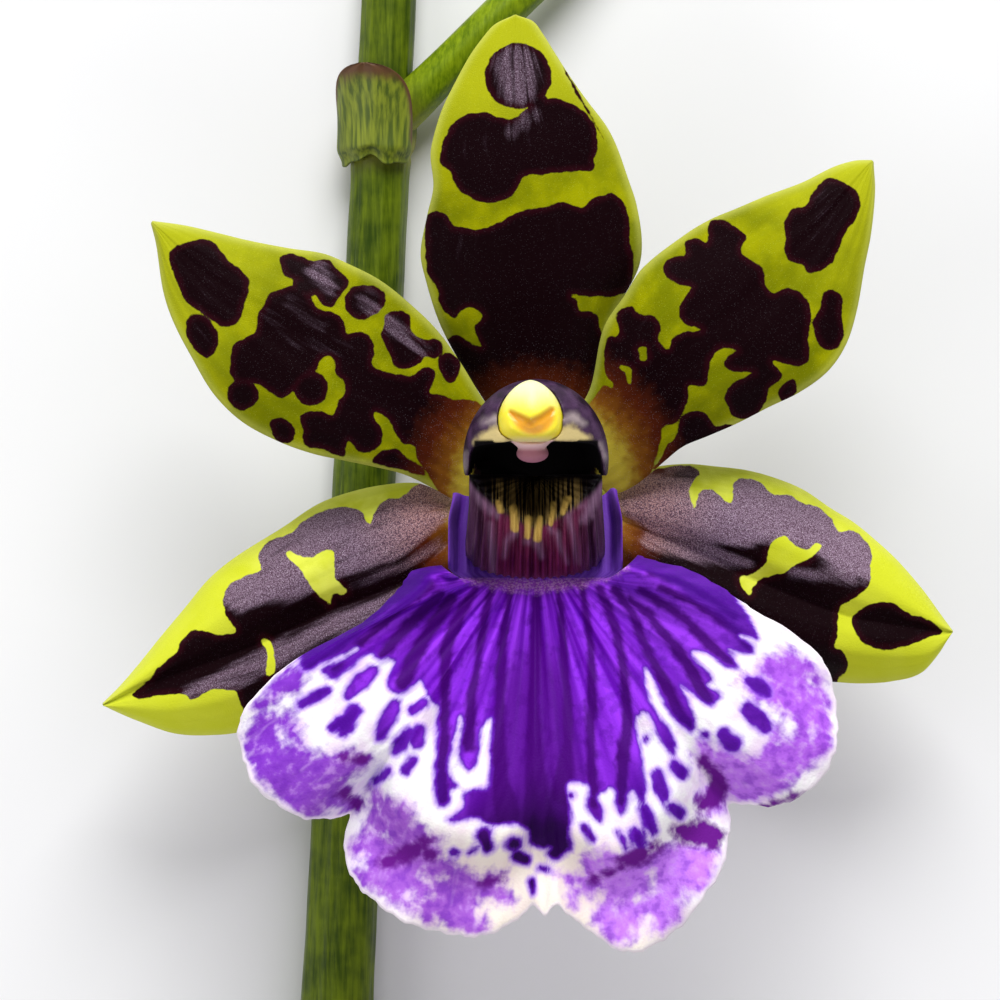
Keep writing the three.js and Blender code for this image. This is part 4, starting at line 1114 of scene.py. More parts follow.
LIP_DARK_NERVES = [
    [(536, 600, 5), (536, 640, 7), (533, 700, 5), (535, 760, 9), (538, 820, 16)],
    [(511, 588, 3), (508, 610, 4), (503, 640, 5), (501, 670, 6), (500, 700, 5), (499, 740, 6), (500, 780, 9),
     (508, 812, 12)],
    [(492, 588, 3), (486, 610, 5), (481, 640, 5), (476, 670, 4), (471, 700, 6), (469, 745, 7)],
    [(475, 590, 4), (466, 605, 6), (455, 625, 7), (446, 650, 7), (445, 690, 5), (445, 720, 5), (443, 760, 6),
     (442, 795, 6)],
    [(558, 588, 2), (561, 610, 4), (563, 640, 5), (565, 670, 5), (567, 700, 5), (567, 740, 5), (562, 790, 12)],
    [(582, 585, 3), (586, 610, 4), (590, 640, 4), (592, 670, 4), (591, 700, 6), (590, 740, 5), (592, 800, 6)],
    [(600, 590, 5), (610, 612, 5), (617, 635, 5), (622, 660, 5), (625, 690, 5), (627, 720, 6), (622, 755, 7),
     (620, 800, 5)],
    [(615, 590, 5), (632, 612, 5), (642, 640, 5), (655, 665, 5), (667, 690, 7), (678, 712, 6), (688, 725, 5)],
    [(630, 600, 4), (650, 615, 5), (660, 630, 5), (672, 643, 6), (686, 662, 6), (698, 685, 7), (708, 700, 5)],
    [(640, 590, 4), (665, 605, 5), (685, 620, 5), (705, 640, 6), (722, 655, 5), (733, 663, 3)],
    [(660, 588, 4), (690, 600, 4), (715, 615, 5), (735, 630, 5), (748, 647, 4)],
    [(648, 572, 3), (676, 580, 4), (706, 596, 4), (734, 616, 4)],
    [(426, 573, 4), (402, 586, 4), (374, 607, 4), (346, 630, 3)],
    [(450, 600, 7), (430, 630, 7), (412, 660, 8), (404, 682, 8)],
    [(440, 595, 6), (415, 618, 6), (395, 640, 6), (383, 655, 5)],
    [(430, 585, 6), (400, 608, 5), (375, 630, 5), (352, 650, 4), (335, 668, 4)],
    [(420, 580, 5), (385, 605, 5), (360, 628, 4), (335, 650, 3), (312, 664, 3)],
]
# Painted shade in the creases of the lip's folds.
LIP_FOLD_SHADE = [
    [(345, 757, 4), (363, 757, 4)],
    [(430, 838, 4), (412, 850, 8), (385, 862, 6)],
    [(430, 853, 6)],
    [(480, 882, 2), (503, 878, 3)],
    [(622, 860, 6), (643, 853, 7)],
    [(655, 845, 5)],
    [(674, 828, 5), (684, 832, 9), (704, 832, 11), (718, 833, 6)],
    [(684, 838, 5), (712, 840, 6)],
    [(702, 758, 5), (716, 776, 7), (719, 793, 9), (703, 804, 7)],
    [(345, 793, 6), (356, 804, 4)],
    [(612, 870, 3), (593, 876, 4)],
    [(765, 808, 2), (800, 792, 2)],
]
LIP_ROOT_BLOOM = [
    [(450, 566, 1), (468, 576, 2), (500, 582, 3), (520, 584, 4), (551, 584, 4), (575, 582, 3), (606, 574, 2),
     (622, 566, 1)],
]


def lip_height(u, degrees):
    """The skirt's level at u from its root to its edge, at an angle from straight down."""
    away = np.abs(degrees)
    centre = 1 - smoothstep(30, 44, away)
    height = LIP_ROOT_LEVEL + LIP_RISE * (1 - (1 - u / LIP_CREST) ** 2)
    height = height - LIP_SIDE_FALL * (away / 98) ** 2 * u**1.3
    height = height + centre * (LIP_FLARE * smoothstep(0.86, 1, u) - LIP_BEND * smoothstep(0.7, 0.86, u))
    for notch in LIP_NOTCHES:
        height = height - LIP_FOLD * bell(degrees, notch, 6) * smoothstep(0.5, 1, u)
    height = height + LIP_RUFFLE * u**4 * np.sin(np.radians(degrees * 13.5 + 40))
    height = height + 0.4 * LIP_RUFFLE * u**8 * np.sin(np.radians(degrees * 31))
    nerve = np.cos(np.pi * degrees * LIP_NERVES / NERVE_SPREAD)
    nerve_reach = smoothstep(0, 0.12, u) * (1 - smoothstep(0.45, 0.85, u)) * (1 - smoothstep(50, 70, away))
    crepe = 0.05 * np.sin(degrees * 1.9 + 9 * u) * np.sin(u * 60 + degrees * 0.35) * smoothstep(0.3, 0.7, u)
    return height + NERVE_RELIEF * nerve * nerve_reach + crepe


def claw_level(y):
    """The level of the lip's claw, which climbs from the receptacle to the skirt's root."""
    return mix(CLAW_LEVEL, LIP_ROOT_LEVEL, (CLAW_TOP_Y - y) / (CLAW_TOP_Y - LIP_ROOT_Y))


def claw_points(w, side):
    """The claw's front face at w from its top to the skirt's root and at side, -1 to 1, across it."""
    y = mix(CLAW_TOP_Y, LIP_ROOT_Y, w)
    waist = smoothstep(0.93, 1, w)
    half = mix(EAR_HALF_WIDTH, LIP_HALF_ROOT, waist) * mix(0.95, 1, smoothstep(0, 0.4, w))
    ear = smoothstep(0.87, 1, np.abs(side)) * smoothstep(1, 0.86, w) * smoothstep(-0.2, 0.35, w)
    nub = bell(np.abs(side), 0.94, 0.08) * np.where(side > 0, 0.6, 0.2) * smoothstep(0.3, 0, w)
    return np.stack([side * half, y + 0.5 * ear + nub, claw_level(y) + EAR_RISE * ear], axis=-1)


def table_curves(rows, count):
    """A smooth curve through each column of a table, read at `count` even places along its rows."""
    rows = np.array(rows, dtype=float)
    order = np.arange(len(rows))
    places = np.linspace(0, len(rows) - 1, count)
    return np.stack([curve_through(list(zip(order, column)))(places) for column in rows.T])


def add_lip():
    claw_rows, skirt_rows = 24, 118
    degrees, reach = table_curves(LIP_EDGE, (len(LIP_EDGE) - 1) * 5 + 1)
    reach = reach + 0.08 * np.sin(degrees * 1.7) + 0.05 * np.sin(degrees * 3.9 + 1.0)
    low, high = LIP_EDGE[0][0], LIP_EDGE[-1][0]
    side = np.where(degrees < 0, degrees / -low, degrees / high)
    w = (np.arange(claw_rows) / claw_rows)[:, None]
    claw = claw_points(w * np.ones_like(side)[None, :], side[None, :] * np.ones_like(w))
    u = np.linspace(0, 1, skirt_rows + 1)[:, None]
    edge_x, edge_y = reach * np.sin(np.radians(degrees)), LIP_FAN_Y - reach * np.cos(np.radians(degrees))
    skirt_x, skirt_y = mix(side * LIP_HALF_ROOT, edge_x, u), mix(LIP_ROOT_Y, edge_y, u)
    skirt = np.stack([skirt_x, skirt_y, lip_height(u, degrees[None, :])], axis=-1)
    front = np.concatenate([claw, skirt])[:, ::-1]
    fan = np.concatenate([np.full((claw_rows, len(side)), -0.05) - 0.4 * (1 - w), u + 0 * side])[:, ::-1]
    angle = (np.ones((claw_rows + skirt_rows + 1, 1)) * degrees[None, :])[:, ::-1]
    step = np.linalg.norm(np.diff(front[-2:], axis=0)[0], axis=-1)
    to_rim = (1 - np.clip(fan, 0, 1)) * step * skirt_rows
    side_gap = np.abs(np.cumsum(np.linalg.norm(np.gradient(front, axis=1), axis=-1), axis=1))
    to_rim = np.minimum(to_rim, np.minimum(side_gap, side_gap[:, -1:] - side_gap) + 0.02)
    thickness = BLADE * (0.32 + 0.62 * np.sqrt(np.clip(to_rim / 1.5, 0, 1)))
    front[..., 2] -= 0.08 * bell(to_rim, 0, 0.12)
    xy = front.reshape(-1, 3)[:, :2]
    marks = {
        "fan": fan,
        "turn": angle / 100.0,
        "violet": marks_distance(xy, [LIP_VIOLET], LIP_FLECKS, spread=LIP_SPREAD),
        "lavender": marks_distance(xy, LIP_LAVENDER, gaps=LIP_PALE_SPOTS, spread=LIP_SPREAD),
        "nerve": marks_distance(xy, dabs=LIP_DARK_NERVES, spread=LIP_SPREAD),
        "fold_shade": marks_distance(xy, dabs=LIP_FOLD_SHADE, spread=LIP_SPREAD),
        "root_bloom": marks_distance(xy, dabs=LIP_ROOT_BLOOM),
        "rim": to_rim,
    }
    add_sheet("lip_blade", front, backed(front, thickness), lip_material(), "lip", marks)


def lip_material():
    """Velvety violet with dark nerves, broken outwards into flecks on white, and mottled lavender
    lobes with a white rim. Every edge is feathered along the nerves. The claw is a duller purple."""
    material, tree, surface = new_material("violet lip")
    skin_of = plant_skin(tree, 5.0, 0.5)
    fan, turn = mark(tree, "fan"), mark(tree, "turn")
    from_middle = maths("ABSOLUTE", turn)

    def along_nerves(across_rate, along_rate, detail):
        return noise(flat_vector(times(turn, across_rate), times(fan, along_rate)), 1.0, detail, 0.6)

    streak = along_nerves(19.0, 1.6, 1.5)
    feather = along_nerves(44.0, 9.0, 2.0)
    off = minus(feather, 0.5)
    cloud = noise(place_on(tree), 1 / MM, 3.0)
    cloudy = minus(cloud, 0.5)

    def feathered(name, share, clouds):
        return plus(plus(mark(tree, name), times(off, share)), times(cloudy, clouds))

    nerve = ramp(feathered("nerve", 0.4, 0.3), -0.26, 0.24, 1.0, 0.0)
    bloom = ramp(feathered("root_bloom", 0.5, 1.0), -0.25, 0.6, 1.0, 0.0)
    # Painted glints: pale specks over the bloom at the lip's root.
    bloom_glints = times(bloom, ramp(skin_of["Cells"], 0.12, 0.3))
    middle = times(ramp(from_middle, 0.2, 0.08), ramp(fan, 0.05, 0.3))
    low_middle = times(ramp(from_middle, 0.24, 0.1), ramp(fan, 0.54, 0.76))
    fleck = times(ramp(fan, 0.5, 0.66), ramp(from_middle, 0.16, 0.26))
    violet = layered(
        blend(ramp(streak, 0.36, 0.68), paint(98, 8, 172), paint(152, 52, 238)),
        (ramp(turn, 0.35, 0.7, 0.0, 0.3), paint(164, 74, 244)),
        (ramp(cloud, 0.5, 0.34, 0.0, 0.35), paint(70, 2, 134)),
        (times(nerve, 0.92), paint(62, 0, 104)),
        (times(middle, 0.78), paint(72, 2, 118)),
        (times(low_middle, 0.85), paint(34, 0, 62)),
        (times(bloom, 0.6), paint(208, 110, 236)),
        (times(bloom_glints, 0.45), paint(255, 200, 255)),
        (times(fleck, 0.75), paint(66, 4, 134)),
    )

    cream = times(ramp(from_middle, 0.3, 0.1), ramp(fan, 0.6, 0.8))
    white = blend(ramp(skin_of["Mottle"], 0.4, 0.7), paint(254, 252, 254), paint(242, 222, 246))
    white = blend(times(cream, 0.7), white, paint(252, 236, 218))
    lavender = layered(
        paint(136, 60, 204),
        (ramp(turn, -0.6, -0.25), paint(168, 96, 214)),
        (ramp(turn, -0.15, 0.2), paint(202, 128, 250)),
        (ramp(turn, 0.35, 0.6), paint(180, 98, 236)),
        (ramp(cloud, 0.54, 0.32, 0.0, 0.55), paint(118, 40, 190)),
        (ramp(cloud, 0.52, 0.72, 0.0, 0.5), paint(218, 166, 250)),
        (ramp(feather, 0.54, 0.78, 0.0, 0.35), paint(222, 178, 246)),
    )
    on_lobes = times(ramp(mark(tree, "rim"), 0.5, 0.1), ramp(turn, -0.78, -0.7))
    on_lobes = times(on_lobes, ramp(turn, 0.84, 0.78))
    from_violet = feathered("violet", 0.5, 0.5)
    colour = layered(
        white,
        (ramp(feathered("lavender", 1.4, 2.2), -0.5, 0.95, 1.0, 0.0), lavender),
        (times(on_lobes, 0.8), paint(252, 240, 252)),
        (ramp(from_violet, 0.0, 0.46, 0.7, 0.0), paint(172, 114, 240)),
        (ramp(from_violet, -0.16, 0.14, 1.0, 0.0), paint(100, 28, 180)),
        (ramp(from_violet, -0.38, -0.06, 1.0, 0.0), violet),
        (ramp(feathered("fold_shade", 0.4, 1.4), -0.3, 0.5, 1.0, 0.0), paint(108, 26, 142)),
        (ramp(fan, 0.02, -0.04), blend(ramp(streak, 0.35, 0.65), paint(98, 48, 160), paint(124, 74, 190))),
        (times(mark(tree, "back"), 0.6), paint(206, 176, 232)),
    )
    inputs = {
        "Base Color": colour,
        "Normal": relief(plus(skin_of["Cells"], times(streak, 1.2)), 0.06, 0.5),
        "Roughness": 0.6,
        "Specular IOR Level": 0.06,
    }
    feed(surface, inputs)
    return material


add_lip()

# ---------------------------------------------------------------------------
# Callus
# The fleshy collar on the lip's claw, bent in a U round the throat: glossy
# maroon-purple with a vertical ridge for each nerve, pale at its foot and
# barred with yellow inside its rim.
# ---------------------------------------------------------------------------

THROAT = (0, -1.2)
CALLUS_HALF_WIDTH = 5.85
CALLUS_DEPTH = 8.3
CALLUS_WAIST = 5.35                      # the collar's half width above its foot
CALLUS_SAG = 1.1                         # how far its front curves back at the corners
CALLUS_RIM_HALF_WIDTH = 5.25
CALLUS_RIM_DEPTH = 4.0
CALLUS_RIM_LEVEL = 28.6
CALLUS_HORN_RISE = 2.0
CALLUS_RIDGES = 19

# Marks on the callus, as runs of dabs on the same squares. The glints are painted highlights.
CALLUS_BARS = [
    [(499, 503, 3), (501, 511, 3)],
    [(513, 508, 4), (514, 528, 4)],
    [(528, 518, 3.5), (527, 536, 3)],
    [(539, 518, 3), (537, 538, 3.5)],
    [(553, 504, 3), (550, 523, 3)],
    [(566, 499, 3.5), (562, 512, 2.5)],
]
CALLUS_GLINTS = [
    [(470, 478, 1), (484, 495, 2), (497, 515, 2.5)],
    [(491, 524, 2), (492, 546, 2.5), (493, 575, 1)],
    [(513, 533, 3), (506, 541, 2), (504, 556, 1)],
    [(527, 541, 2.5)],
    [(537, 543, 2.5), (541, 556, 1)],
    [(549, 528, 1.5), (556, 534, 2), (559, 544, 2), (566, 562, 1)],
    [(571, 502, 2), (567, 515, 2.5), (572, 534, 2), (577, 562, 1)],
    [(596, 476, 2), (584, 491, 3), (578, 506, 2)],
    [(582, 505, 2), (590, 515, 2)],
    [(598, 484, 4), (590, 505, 5), (582, 520, 3)],
    [(472, 484, 3), (482, 500, 4), (492, 512, 3)],
]


def callus_material():
    """Maroon at the front, greyish lilac on the sides and the horns, with upright streaks and painted
    glints; inside the throat, brown hairs on black painted shade."""
    material, tree, surface = new_material("ridged callus")
    skin_of = plant_skin(tree, 6.0, 0.5)
    climb, across, along = (mark(tree, name) for name in ("climb", "across", "along"))

    def upright(across_rate, along_rate, detail):
        return noise(flat_vector(times(across, across_rate), times(along, along_rate)), 1.0, detail)

    streak = upright(1.7, 0.22, 3.0)
    hairs = upright(6.5, 0.2, 2.0)
    off = minus(streak, 0.5)
    sideways = maths("ABSOLUTE", across)

    def soft(name, low, high, share):
        return ramp(plus(mark(tree, name), times(off, 0.5)), low, high, share, 0.0)

    to_side = ramp(sideways, 2.4, 5.2)
    shade = blend(to_side, paint(62, 3, 34), paint(44, 16, 38))
    lit = blend(to_side, paint(122, 38, 78), paint(98, 60, 92))
    foot = ramp(plus(climb, times(off, 0.12)), 0.14, 0.05)
    foot = times(foot, ramp(along, -7.4, -8.4, 0.0, 0.8))
    # Painted shade inside the throat: black between the brown hairs, and fully black deeper in and towards its
    # sides.
    throat = layered(
        blend(ramp(hairs, 0.46, 0.6), paint(5, 0, 3), paint(144, 118, 68)),
        (ramp(along, -2.4, -1.3), paint(4, 0, 3)),
        (ramp(sideways, 3.0, 4.2), paint(5, 0, 3)),
    )
    colour = layered(
        blend(ramp(streak, 0.32, 0.72), shade, lit),
        (soft("glints", -0.4, 0.4, 0.5), paint(168, 128, 164)),
        (foot, paint(176, 124, 176)),
        (ramp(climb, 0.585, 0.64), throat),
        (soft("bars", -0.14, 0.1, 0.95), paint(204, 168, 84)),
    )
    inputs = {
        "Base Color": colour,
        "Normal": relief(plus(times(streak, 2.0), skin_of["Cells"]), 0.07, 0.6),
        "Roughness": 0.42,
        "Specular IOR Level": 0.2,
    }
    feed(surface, inputs)
    return material


# The callus from its foot up over its rim and down into the throat, as rows of (out, share, drop,
# bulge): 1 out is its foot's outline, 0 its rim and less than 0 inside it. A row's level is a share of
# the way from foot to crest, lowered by so many mm, and its ridges stand out by the bulge.
CALLUS_SECTION = [
    (1.0, 0, 0, 0),
    (1.0, 0, -0.3, 0.06),
    (1.0, 0, -0.9, 0.1),
    (0.86, 0.42, 0, 0.2),
    (0.62, 0.74, 0, 0.2),
    (0.34, 0.95, 0, 0.14),
    (0.1, 1, 0, 0),
    (-0.1, 1, 0.5, 0),
    (-0.3, 1, 2.2, 0),
    (-0.62, 1, 4.4, 0),
    (-0.92, 1, 5.0, 0),
]
CALLUS_UNDERSIDE = np.array([0.07, 0.35, 0.7])       # shares of the foot's outline, below it
RIDGE_HEIGHT = 0.2


def add_callus():
    steps, section_steps = 360, 90
    across = np.sin(np.radians(np.linspace(-90, 90, steps + 1)))
    ridge = np.cos(CALLUS_RIDGES * np.pi * across)

    def oval(half_width, depth, power):
        return np.stack([across * half_width, -depth * (1 - np.abs(across) ** power) ** (1 / power)], axis=-1)

    outer = oval(CALLUS_WAIST, CALLUS_DEPTH - CALLUS_SAG * across**2, 8)
    outer[:, 0] *= mix(1, CALLUS_HALF_WIDTH / CALLUS_WAIST, smoothstep(-2.5, -7.0, outer[:, 1]))
    rim = oval(CALLUS_RIM_HALF_WIDTH, CALLUS_RIM_DEPTH, 1.25)
    crest = CALLUS_RIM_LEVEL + CALLUS_HORN_RISE * np.abs(rim[:, 0] / CALLUS_RIM_HALF_WIDTH) ** 2.5
    crest = crest + 0.5 * RIDGE_HEIGHT * ridge
    foot = claw_level(THROAT[1] + outer[:, 1]) + CLEARANCE
    rows = [(out, bulge, *(mix(foot, crest, share) - drop)) for out, share, drop, bulge in CALLUS_SECTION]
    out, bulge, *level = table_curves(rows, section_steps + 1)
    outward = outer - 0.35 * rim
    outward /= np.linalg.norm(outward, axis=1, keepdims=True)
    rim, outer, out = rim[:, None], outer[:, None], out[None, :, None]
    plan = np.where(out > 0, mix(rim, outer, out), rim * (1 + out))
    swell = bulge[None, :, None] * ridge[:, None, None]
    plan = plan + outward[:, None] * swell * smoothstep(0, -1.2, plan[..., 1:2])
    top = np.concatenate([plan + np.array(THROAT), np.array(level)[..., None]], axis=-1)
    under_plan = outer * CALLUS_UNDERSIDE[None, :, None] + np.array(THROAT)
    under = np.concatenate([under_plan, (claw_level(under_plan[..., 1]) + CLEARANCE)[..., None]], axis=-1)
    section = np.concatenate([under, top], axis=1)
    vertices, faces = skin(section[:, ::-1], cap_rows=2)
    climb = np.concatenate([np.full(len(CALLUS_UNDERSIDE), -0.1), np.linspace(0, 1, section_steps + 1)])[::-1]
    marks = {
        "climb": np.append(np.tile(climb, len(section) + 2), [0.7, 0.7]),
        "across": vertices[:, 0],
        "along": vertices[:, 1],
        "bars": marks_distance(vertices[:, :2], dabs=CALLUS_BARS),
        "glints": marks_distance(vertices[:, :2], dabs=CALLUS_GLINTS),
    }
    flesh = add_piece("callus_flesh", vertices, faces, callus_material(), ["callus"], marks)
    flesh.data.set_sharp_from_angle(angle=np.radians(60))


add_callus()

# ---------------------------------------------------------------------------
# Column and anther cap
# The hooded middle of the bloom: dark purple flesh with a cream band on each
# shoulder and painted glints, a hollow under the hood painted black as shade, a
# pink-white beak over the hollow and the waxy yellow cap that covers the pollen.
# ---------------------------------------------------------------------------

CAVITY_FLOOR_LEVEL = 25.5
CAVITY_ROOF = [
    (-5.4, -9), (0, -9.2), (5.4, -9), (5.4, -3), (5.3, -1.2), (5.1, 0.2), (4.8, 0.95), (4.2, 1.25), (2.5, 1.35),
    (0, 1.4), (-2.5, 1.3), (-4.3, 1.1), (-4.95, 0.8), (-5.2, 0.1), (-5.3, -1.2), (-5.4, -3),
]
# The column from below: (level, half width, half depth, its middle along the bloom's axis).
COLUMN_SECTIONS = [
    (HUB_TOP + CLEARANCE, 2.9, 2.7, 0.3), (22.2, 3.3, 3.3, 0.5), (24.2, 4.1, 4.3, 0.4), (26.2, 4.9, 5.3, 0.2),
    (28.2, 5.5, 6.0, 0.1), (30.2, COLUMN_HALF_WIDTH, COLUMN_HALF_DEPTH, 0), (31.8, 5.7, 6.3, 0),
    (33.0, 5.2, 5.8, 0.1), (33.9, 4.2, 4.9, 0.3), (34.5, 2.6, 3.4, 0.9),
]
COLUMN_CELL = 0.13                       # mm, the size of its mesh's cells
COLUMN_SPREAD = 0.972
PAST_MARKS = 9.0                         # mm, further than the reach of any mark
ANTHER_CENTRE = (-0.42, 3.1, 33.6)
ANTHER_HALF_WIDTH = 2.58
ANTHER_HALF_HEIGHT = 2.3
ANTHER_POINTED = (3.1, 1.7)              # mm up to its point, and the outline's power there
ANTHER_BLUNT = (1.8, 3.2)                # the same down to its blunt end

# Marks on the column and the anther cap, on the same squares. The glints are painted highlights.
COLUMN_CREAM = [
    [(473, 444), (478, 436), (486, 430), (496, 427), (505, 431), (512, 440), (517, 450), (492, 448)],
    [(552, 450), (553, 440), (559, 431), (567, 426), (576, 427), (584, 432), (591, 436), (590, 440), (578, 444),
     (566, 446)],
]
COLUMN_GLINTS = [
    [(484, 423, 2), (494, 419, 3)],
    [(564, 420, 2), (573, 416, 3), (583, 424, 1.5)],
    [(463, 455, 2), (462, 466, 3)],
    [(600, 444, 1), (604, 456, 3)],
]
ANTHER_FACETS = [
    [(509, 411), (520, 417), (530, 422), (541, 417), (553, 409), (555, 421), (548, 431), (536, 436), (524, 434),
     (513, 425)],
]
ANTHER_CREASE = [[(511, 414, 2.5), (520, 418, 3), (530, 423, 3.5), (541, 418, 3), (551, 411, 3)]]


def oval_radius(half_width, depth, power, angle):
    """An oval's reach at an angle from its long way. A higher power squares it off."""
    x, y = np.abs(np.sin(angle)) / half_width, np.abs(np.cos(angle)) / depth
    return (x**power + y**power) ** (-1 / power)


def rough_solid(name, vertices, faces):
    """A solid that only serves to make a piece, in mm from the bloom's axis."""
    return add_object(name, mesh_of(name, vertices, faces))


def ball(name, centre, radii):
    rows, sides = 24, 40
    polar = np.linspace(0.02, np.pi - 0.02, rows)[:, None]
    around = (2 * np.pi * np.arange(sides) / sides)[None, :]
    ring = np.stack(
        [
            centre[0] + radii[0] * np.sin(polar) * np.cos(around),
            centre[1] + radii[1] * np.sin(polar) * np.sin(around),
            centre[2] - radii[2] * np.cos(polar) * np.ones_like(around),
        ],
        axis=-1,
    )
    return rough_solid(name, *skin(ring[:, ::-1], cap_rows=1))


def anther_surface(grow, rows, sides):
    """The cap's skin set outwards by `grow`: three grids of coordinates, in rings from below."""
    polar = np.linspace(0.01, np.pi - 0.01, rows)[:, None]
    around = (2 * np.pi * np.arange(sides) / sides)[None, :]
    depth, power = (np.where(np.cos(around) > 0, a, b) for a, b in zip(ANTHER_POINTED, ANTHER_BLUNT))
    reach = oval_radius(ANTHER_HALF_WIDTH + grow, depth + grow, power, around) * np.sin(polar)
    up = np.maximum(0, np.cos(around) * np.sin(polar))
    return (
        ANTHER_CENTRE[0] + reach * np.sin(around),
        ANTHER_CENTRE[1] + reach * np.cos(around),
        ANTHER_CENTRE[2] - (ANTHER_HALF_HEIGHT + grow) * np.cos(polar) * (1 - 0.15 * up**1.5),
    )


def apply_modifiers(solid):
    """Turns the solid's modifiers into its mesh."""
    evaluated = solid.evaluated_get(bpy.context.evaluated_depsgraph_get())
    mesh = bpy.data.meshes.new_from_object(evaluated)
    solid.modifiers.clear()
    solid.data = mesh
    return mesh


def column_vertices():
    level, half_width, half_depth, middle = table_curves(COLUMN_SECTIONS, 73)[..., None]
    angle = (2 * np.pi * np.arange(96) / 96)[None, :]
    radius = oval_radius(half_width, half_depth, 2, angle)
    ring = np.stack([radius * np.sin(angle), middle - radius * np.cos(angle), level + 0 * angle], axis=-1)
    return skin(ring[:, ::-1])


def add_column():
    column = rough_solid("column_flesh", *column_vertices())
    roof = smooth_loop(CAVITY_ROOF)
    walls = [
        np.column_stack([roof * [share, 1.0], np.full(len(roof), level)])
        for level, share in (
            (CAVITY_FLOOR_LEVEL, 0.84), (CAVITY_FLOOR_LEVEL + 0.9, 0.92), (28.6, 1.0), (36, 1.02),
        )
    ]
    cavity = rough_solid("cavity_cutter", *skin(np.stack(walls)[:, ::-1], cap_rows=1))
    front = rough_solid(
        "front_cutter",
        [(x, y, z) for x in (-15, 15) for y in (-22, THROAT[1] - 0.1) for z in (10, 50)],
        [(0, 1, 3, 2), (4, 6, 7, 5), (0, 4, 5, 1), (2, 3, 7, 6), (0, 2, 6, 4), (1, 5, 7, 3)],
    )
    beak = ball("beak", (-0.35, 1.55, 31.9), (1.55, 0.85, 1.5))
    beak_tip = ball("beak_tip", (-0.27, 0.45, 31.4), (1.3, 0.75, 1.1))
    seat = rough_solid("anther_seat", *skin(np.stack(anther_surface(0.08, 40, 72), axis=-1), cap_rows=1))
    for tool, operation in (
        (cavity, "DIFFERENCE"),
        (beak, "UNION"),
        (beak_tip, "UNION"),
        (seat, "DIFFERENCE"),
        (front, "DIFFERENCE"),
    ):
        step = column.modifiers.new(tool.name, "BOOLEAN")
        step.operation, step.object, step.solver = operation, tool, "EXACT"
        apply_modifiers(column)
        bpy.data.objects.remove(tool)
    remesh = column.modifiers.new("even cells", "REMESH")
    remesh.mode, remesh.voxel_size, remesh.use_smooth_shade = "VOXEL", COLUMN_CELL * MM, True
    soften = column.modifiers.new("soften", "SMOOTH")
    soften.factor, soften.iterations = 0.5, 5
    mesh = apply_modifiers(column)
    points = np.empty(len(mesh.vertices) * 3)
    mesh.vertices.foreach_get("co", points)
    points = points.reshape(-1, 3) / MM
    faces = [tuple(face.vertices) for face in mesh.polygons]
    bpy.data.objects.remove(column)
    x, y, z = points.T
    high = smoothstep(30.5, 31.5, z)
    wall = np.interp(y, [-1.2, 0.2, 1.0], [5.3, 5.12, 4.85])
    inside = smoothstep(0.12, -0.05, np.abs(x) - wall) * smoothstep(1.6, 1.36, y)
    below = PAST_MARKS * (1 - high)
    marks = {
        "hollow": inside * (z > 22.0) * (z < 34.2),
        "beak": high * smoothstep(1.75, 1.5, np.abs(x + 0.3)) * smoothstep(1.9, 1.6, y) * (y > -0.5),
        "beak_top": smoothstep(0.55, 1.05, y),
        "cream": marks_distance(points[:, :2], COLUMN_CREAM, spread=COLUMN_SPREAD) + below,
        "glints": marks_distance(points[:, :2], dabs=COLUMN_GLINTS, spread=COLUMN_SPREAD) + below,
    }
    add_piece("column_flesh", points, faces, column_material(), ["column"], marks)


def column_material():
    material, tree, surface = new_material("column flesh")
    skin_of = plant_skin(tree, 6.0, 0.8)
    off = minus(skin_of["Mottle"], 0.5)

    def soft(name, low, high, share):
        return ramp(plus(mark(tree, name), times(off, 1.2)), low, high, share, 0.0)

    # The hollow under the hood is painted black, as painted shade.
    hollow = mark(tree, "hollow")
    beak = blend(mark(tree, "beak_top"), paint(178, 118, 132), paint(240, 202, 196))
    colour = layered(
        blend(ramp(skin_of["Mottle"], 0.28, 0.76), paint(30, 12, 34), paint(76, 50, 82)),
        (soft("cream", -0.4, 0.25, 0.92), paint(204, 184, 126)),
        (soft("glints", -0.6, 0.5, 0.5), paint(220, 200, 200)),
        (hollow, paint(3, 0, 2)),
        (mark(tree, "beak"), beak),
    )
    inputs = {
        "Base Color": colour,
        "Normal": relief(skin_of["Cells"], 0.05, 0.5),
        "Roughness": ramp(hollow, 0.0, 1.0, 0.4, 0.95),
        "Specular IOR Level": 0.15,
    }
    feed(surface, inputs)
    return material


add_column()


def anther_material():
    material, tree, surface = new_material("waxy anther cap")
    colour = layered(
        blend(mark(tree, "top"), paint(254, 234, 54), paint(255, 252, 190)),
        (ramp(mark(tree, "facets"), -0.35, 0.15, 0.9, 0.0), paint(240, 162, 42)),
        (ramp(mark(tree, "crease"), -0.2, 0.25, 0.9, 0.0), paint(230, 154, 4)),
        (mark(tree, "low"), paint(250, 232, 196)),
    )
    inputs = {
        "Base Color": colour,
        "Normal": relief(plant_skin(tree, 5.0, 0.5)["Cells"], 0.03, 0.4),
        "Roughness": 0.4,
        "Subsurface Weight": 0.25,
        "Subsurface Radius": (0.0012, 0.0008, 0.0002),
    }
    feed(surface, inputs)
    return material


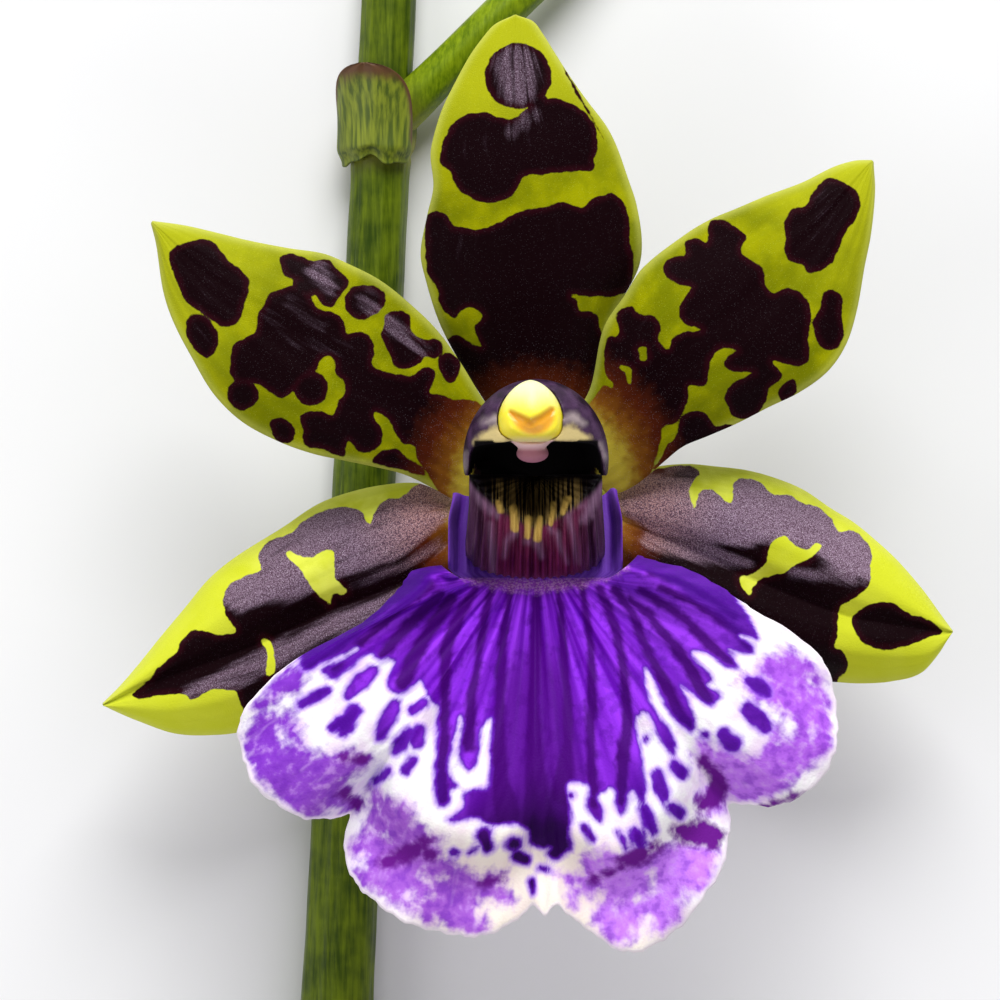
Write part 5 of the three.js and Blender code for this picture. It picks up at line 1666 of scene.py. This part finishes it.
def add_anther_cap():
    x, y, z = anther_surface(0.0, 130, 160)
    plan = np.stack([x.ravel(), y.ravel()], axis=1)
    underneath = np.where(z > ANTHER_CENTRE[2], 0.0, PAST_MARKS).ravel()
    facets = marks_distance(plan, ANTHER_FACETS, spread=COLUMN_SPREAD) + underneath
    crease = marks_distance(plan, dabs=ANTHER_CREASE, spread=COLUMN_SPREAD) + underneath
    hollow = 0.3 * smoothstep(0.3, -0.5, facets) + 0.16 * smoothstep(0.25, -0.25, crease)
    vertices, faces = skin(np.stack([x, y, z - hollow.reshape(z.shape)], axis=-1), cap_rows=1)
    marks = {
        "facets": facets,
        "crease": crease,
        "top": smoothstep(3.4, 5.9, plan[:, 1]),
        "low": 0.6 * smoothstep(1.9, 1.3, plan[:, 1]),
    }
    at_poles = [PAST_MARKS, PAST_MARKS]
    marks = {mark_name: np.append(values, at_poles) for mark_name, values in marks.items()}
    add_piece("anther_cap_wax", vertices, faces, anther_material(), ["anther_cap"], marks)


add_anther_cap()

# ---------------------------------------------------------------------------
# Floor, camera and lights
# A plain near-white surface, a camera straight above the bloom, and soft light
# that comes mostly from beyond the bloom's top.
# ---------------------------------------------------------------------------

CAMERA_PLACE = (-2.84, -3.24, 422.0)     # mm from the bloom's axis
CAMERA_FRAME = 81.0                      # mm across, at FRAME_DISTANCE
FRAME_DISTANCE = 400.0
SENSOR = 36.0

FLOOR_HALF = 1500.0                      # mm
LIT_POINT = np.array([0.0, 0.0, 0.02])   # m, where the lights look

scene = bpy.context.scene
floor_corners = [(x * FLOOR_HALF, y * FLOOR_HALF, 0) for x, y in ((-1, -1), (1, -1), (1, 1), (-1, 1))]
floor = add_object("floor", mesh_of("floor", floor_corners, [(0, 1, 2, 3)]))
floor_material, _, floor_surface = new_material("pale floor")
feed(floor_surface, {"Base Color": (0.86, 0.86, 0.87, 1), "Roughness": 0.7})
floor.data.materials.append(floor_material)

camera_data = bpy.data.cameras.new("camera")
camera_data.sensor_width = SENSOR
camera_data.lens = SENSOR * FRAME_DISTANCE / CAMERA_FRAME
camera_data.clip_start = 0.01
camera = add_object("camera", camera_data)
camera.location = (np.array(CAMERA_PLACE) - FOOTPRINT_MIDDLE) * MM
scene.camera = camera


def area_light(name, place, size, energy):
    """A soft round light at a place in metres, turned towards the bloom."""
    light = bpy.data.lights.new(name, "AREA")
    light.shape, light.size, light.energy = "DISK", size, energy
    lamp = add_object(name, light)
    lamp.location = place
    x, y, z = np.array(place) - LIT_POINT
    lamp.rotation_euler = (np.arctan2(np.hypot(x, y), z), 0.0, np.arctan2(x, -y))


area_light("window", (0.05, 0.55, 0.45), 0.45, 5.4)
area_light("left_fill", (-0.6, -0.15, 0.5), 0.5, 1.4)
area_light("low_fill", (0.25, -0.6, 0.5), 0.6, 1.3)
world = bpy.data.worlds.new("studio")
scene.world = world
world.use_nodes = True
feed(world.node_tree.nodes["Background"], {"Color": (1, 1, 1, 1), "Strength": 0.3})
scene.view_settings.view_transform = "Standard"
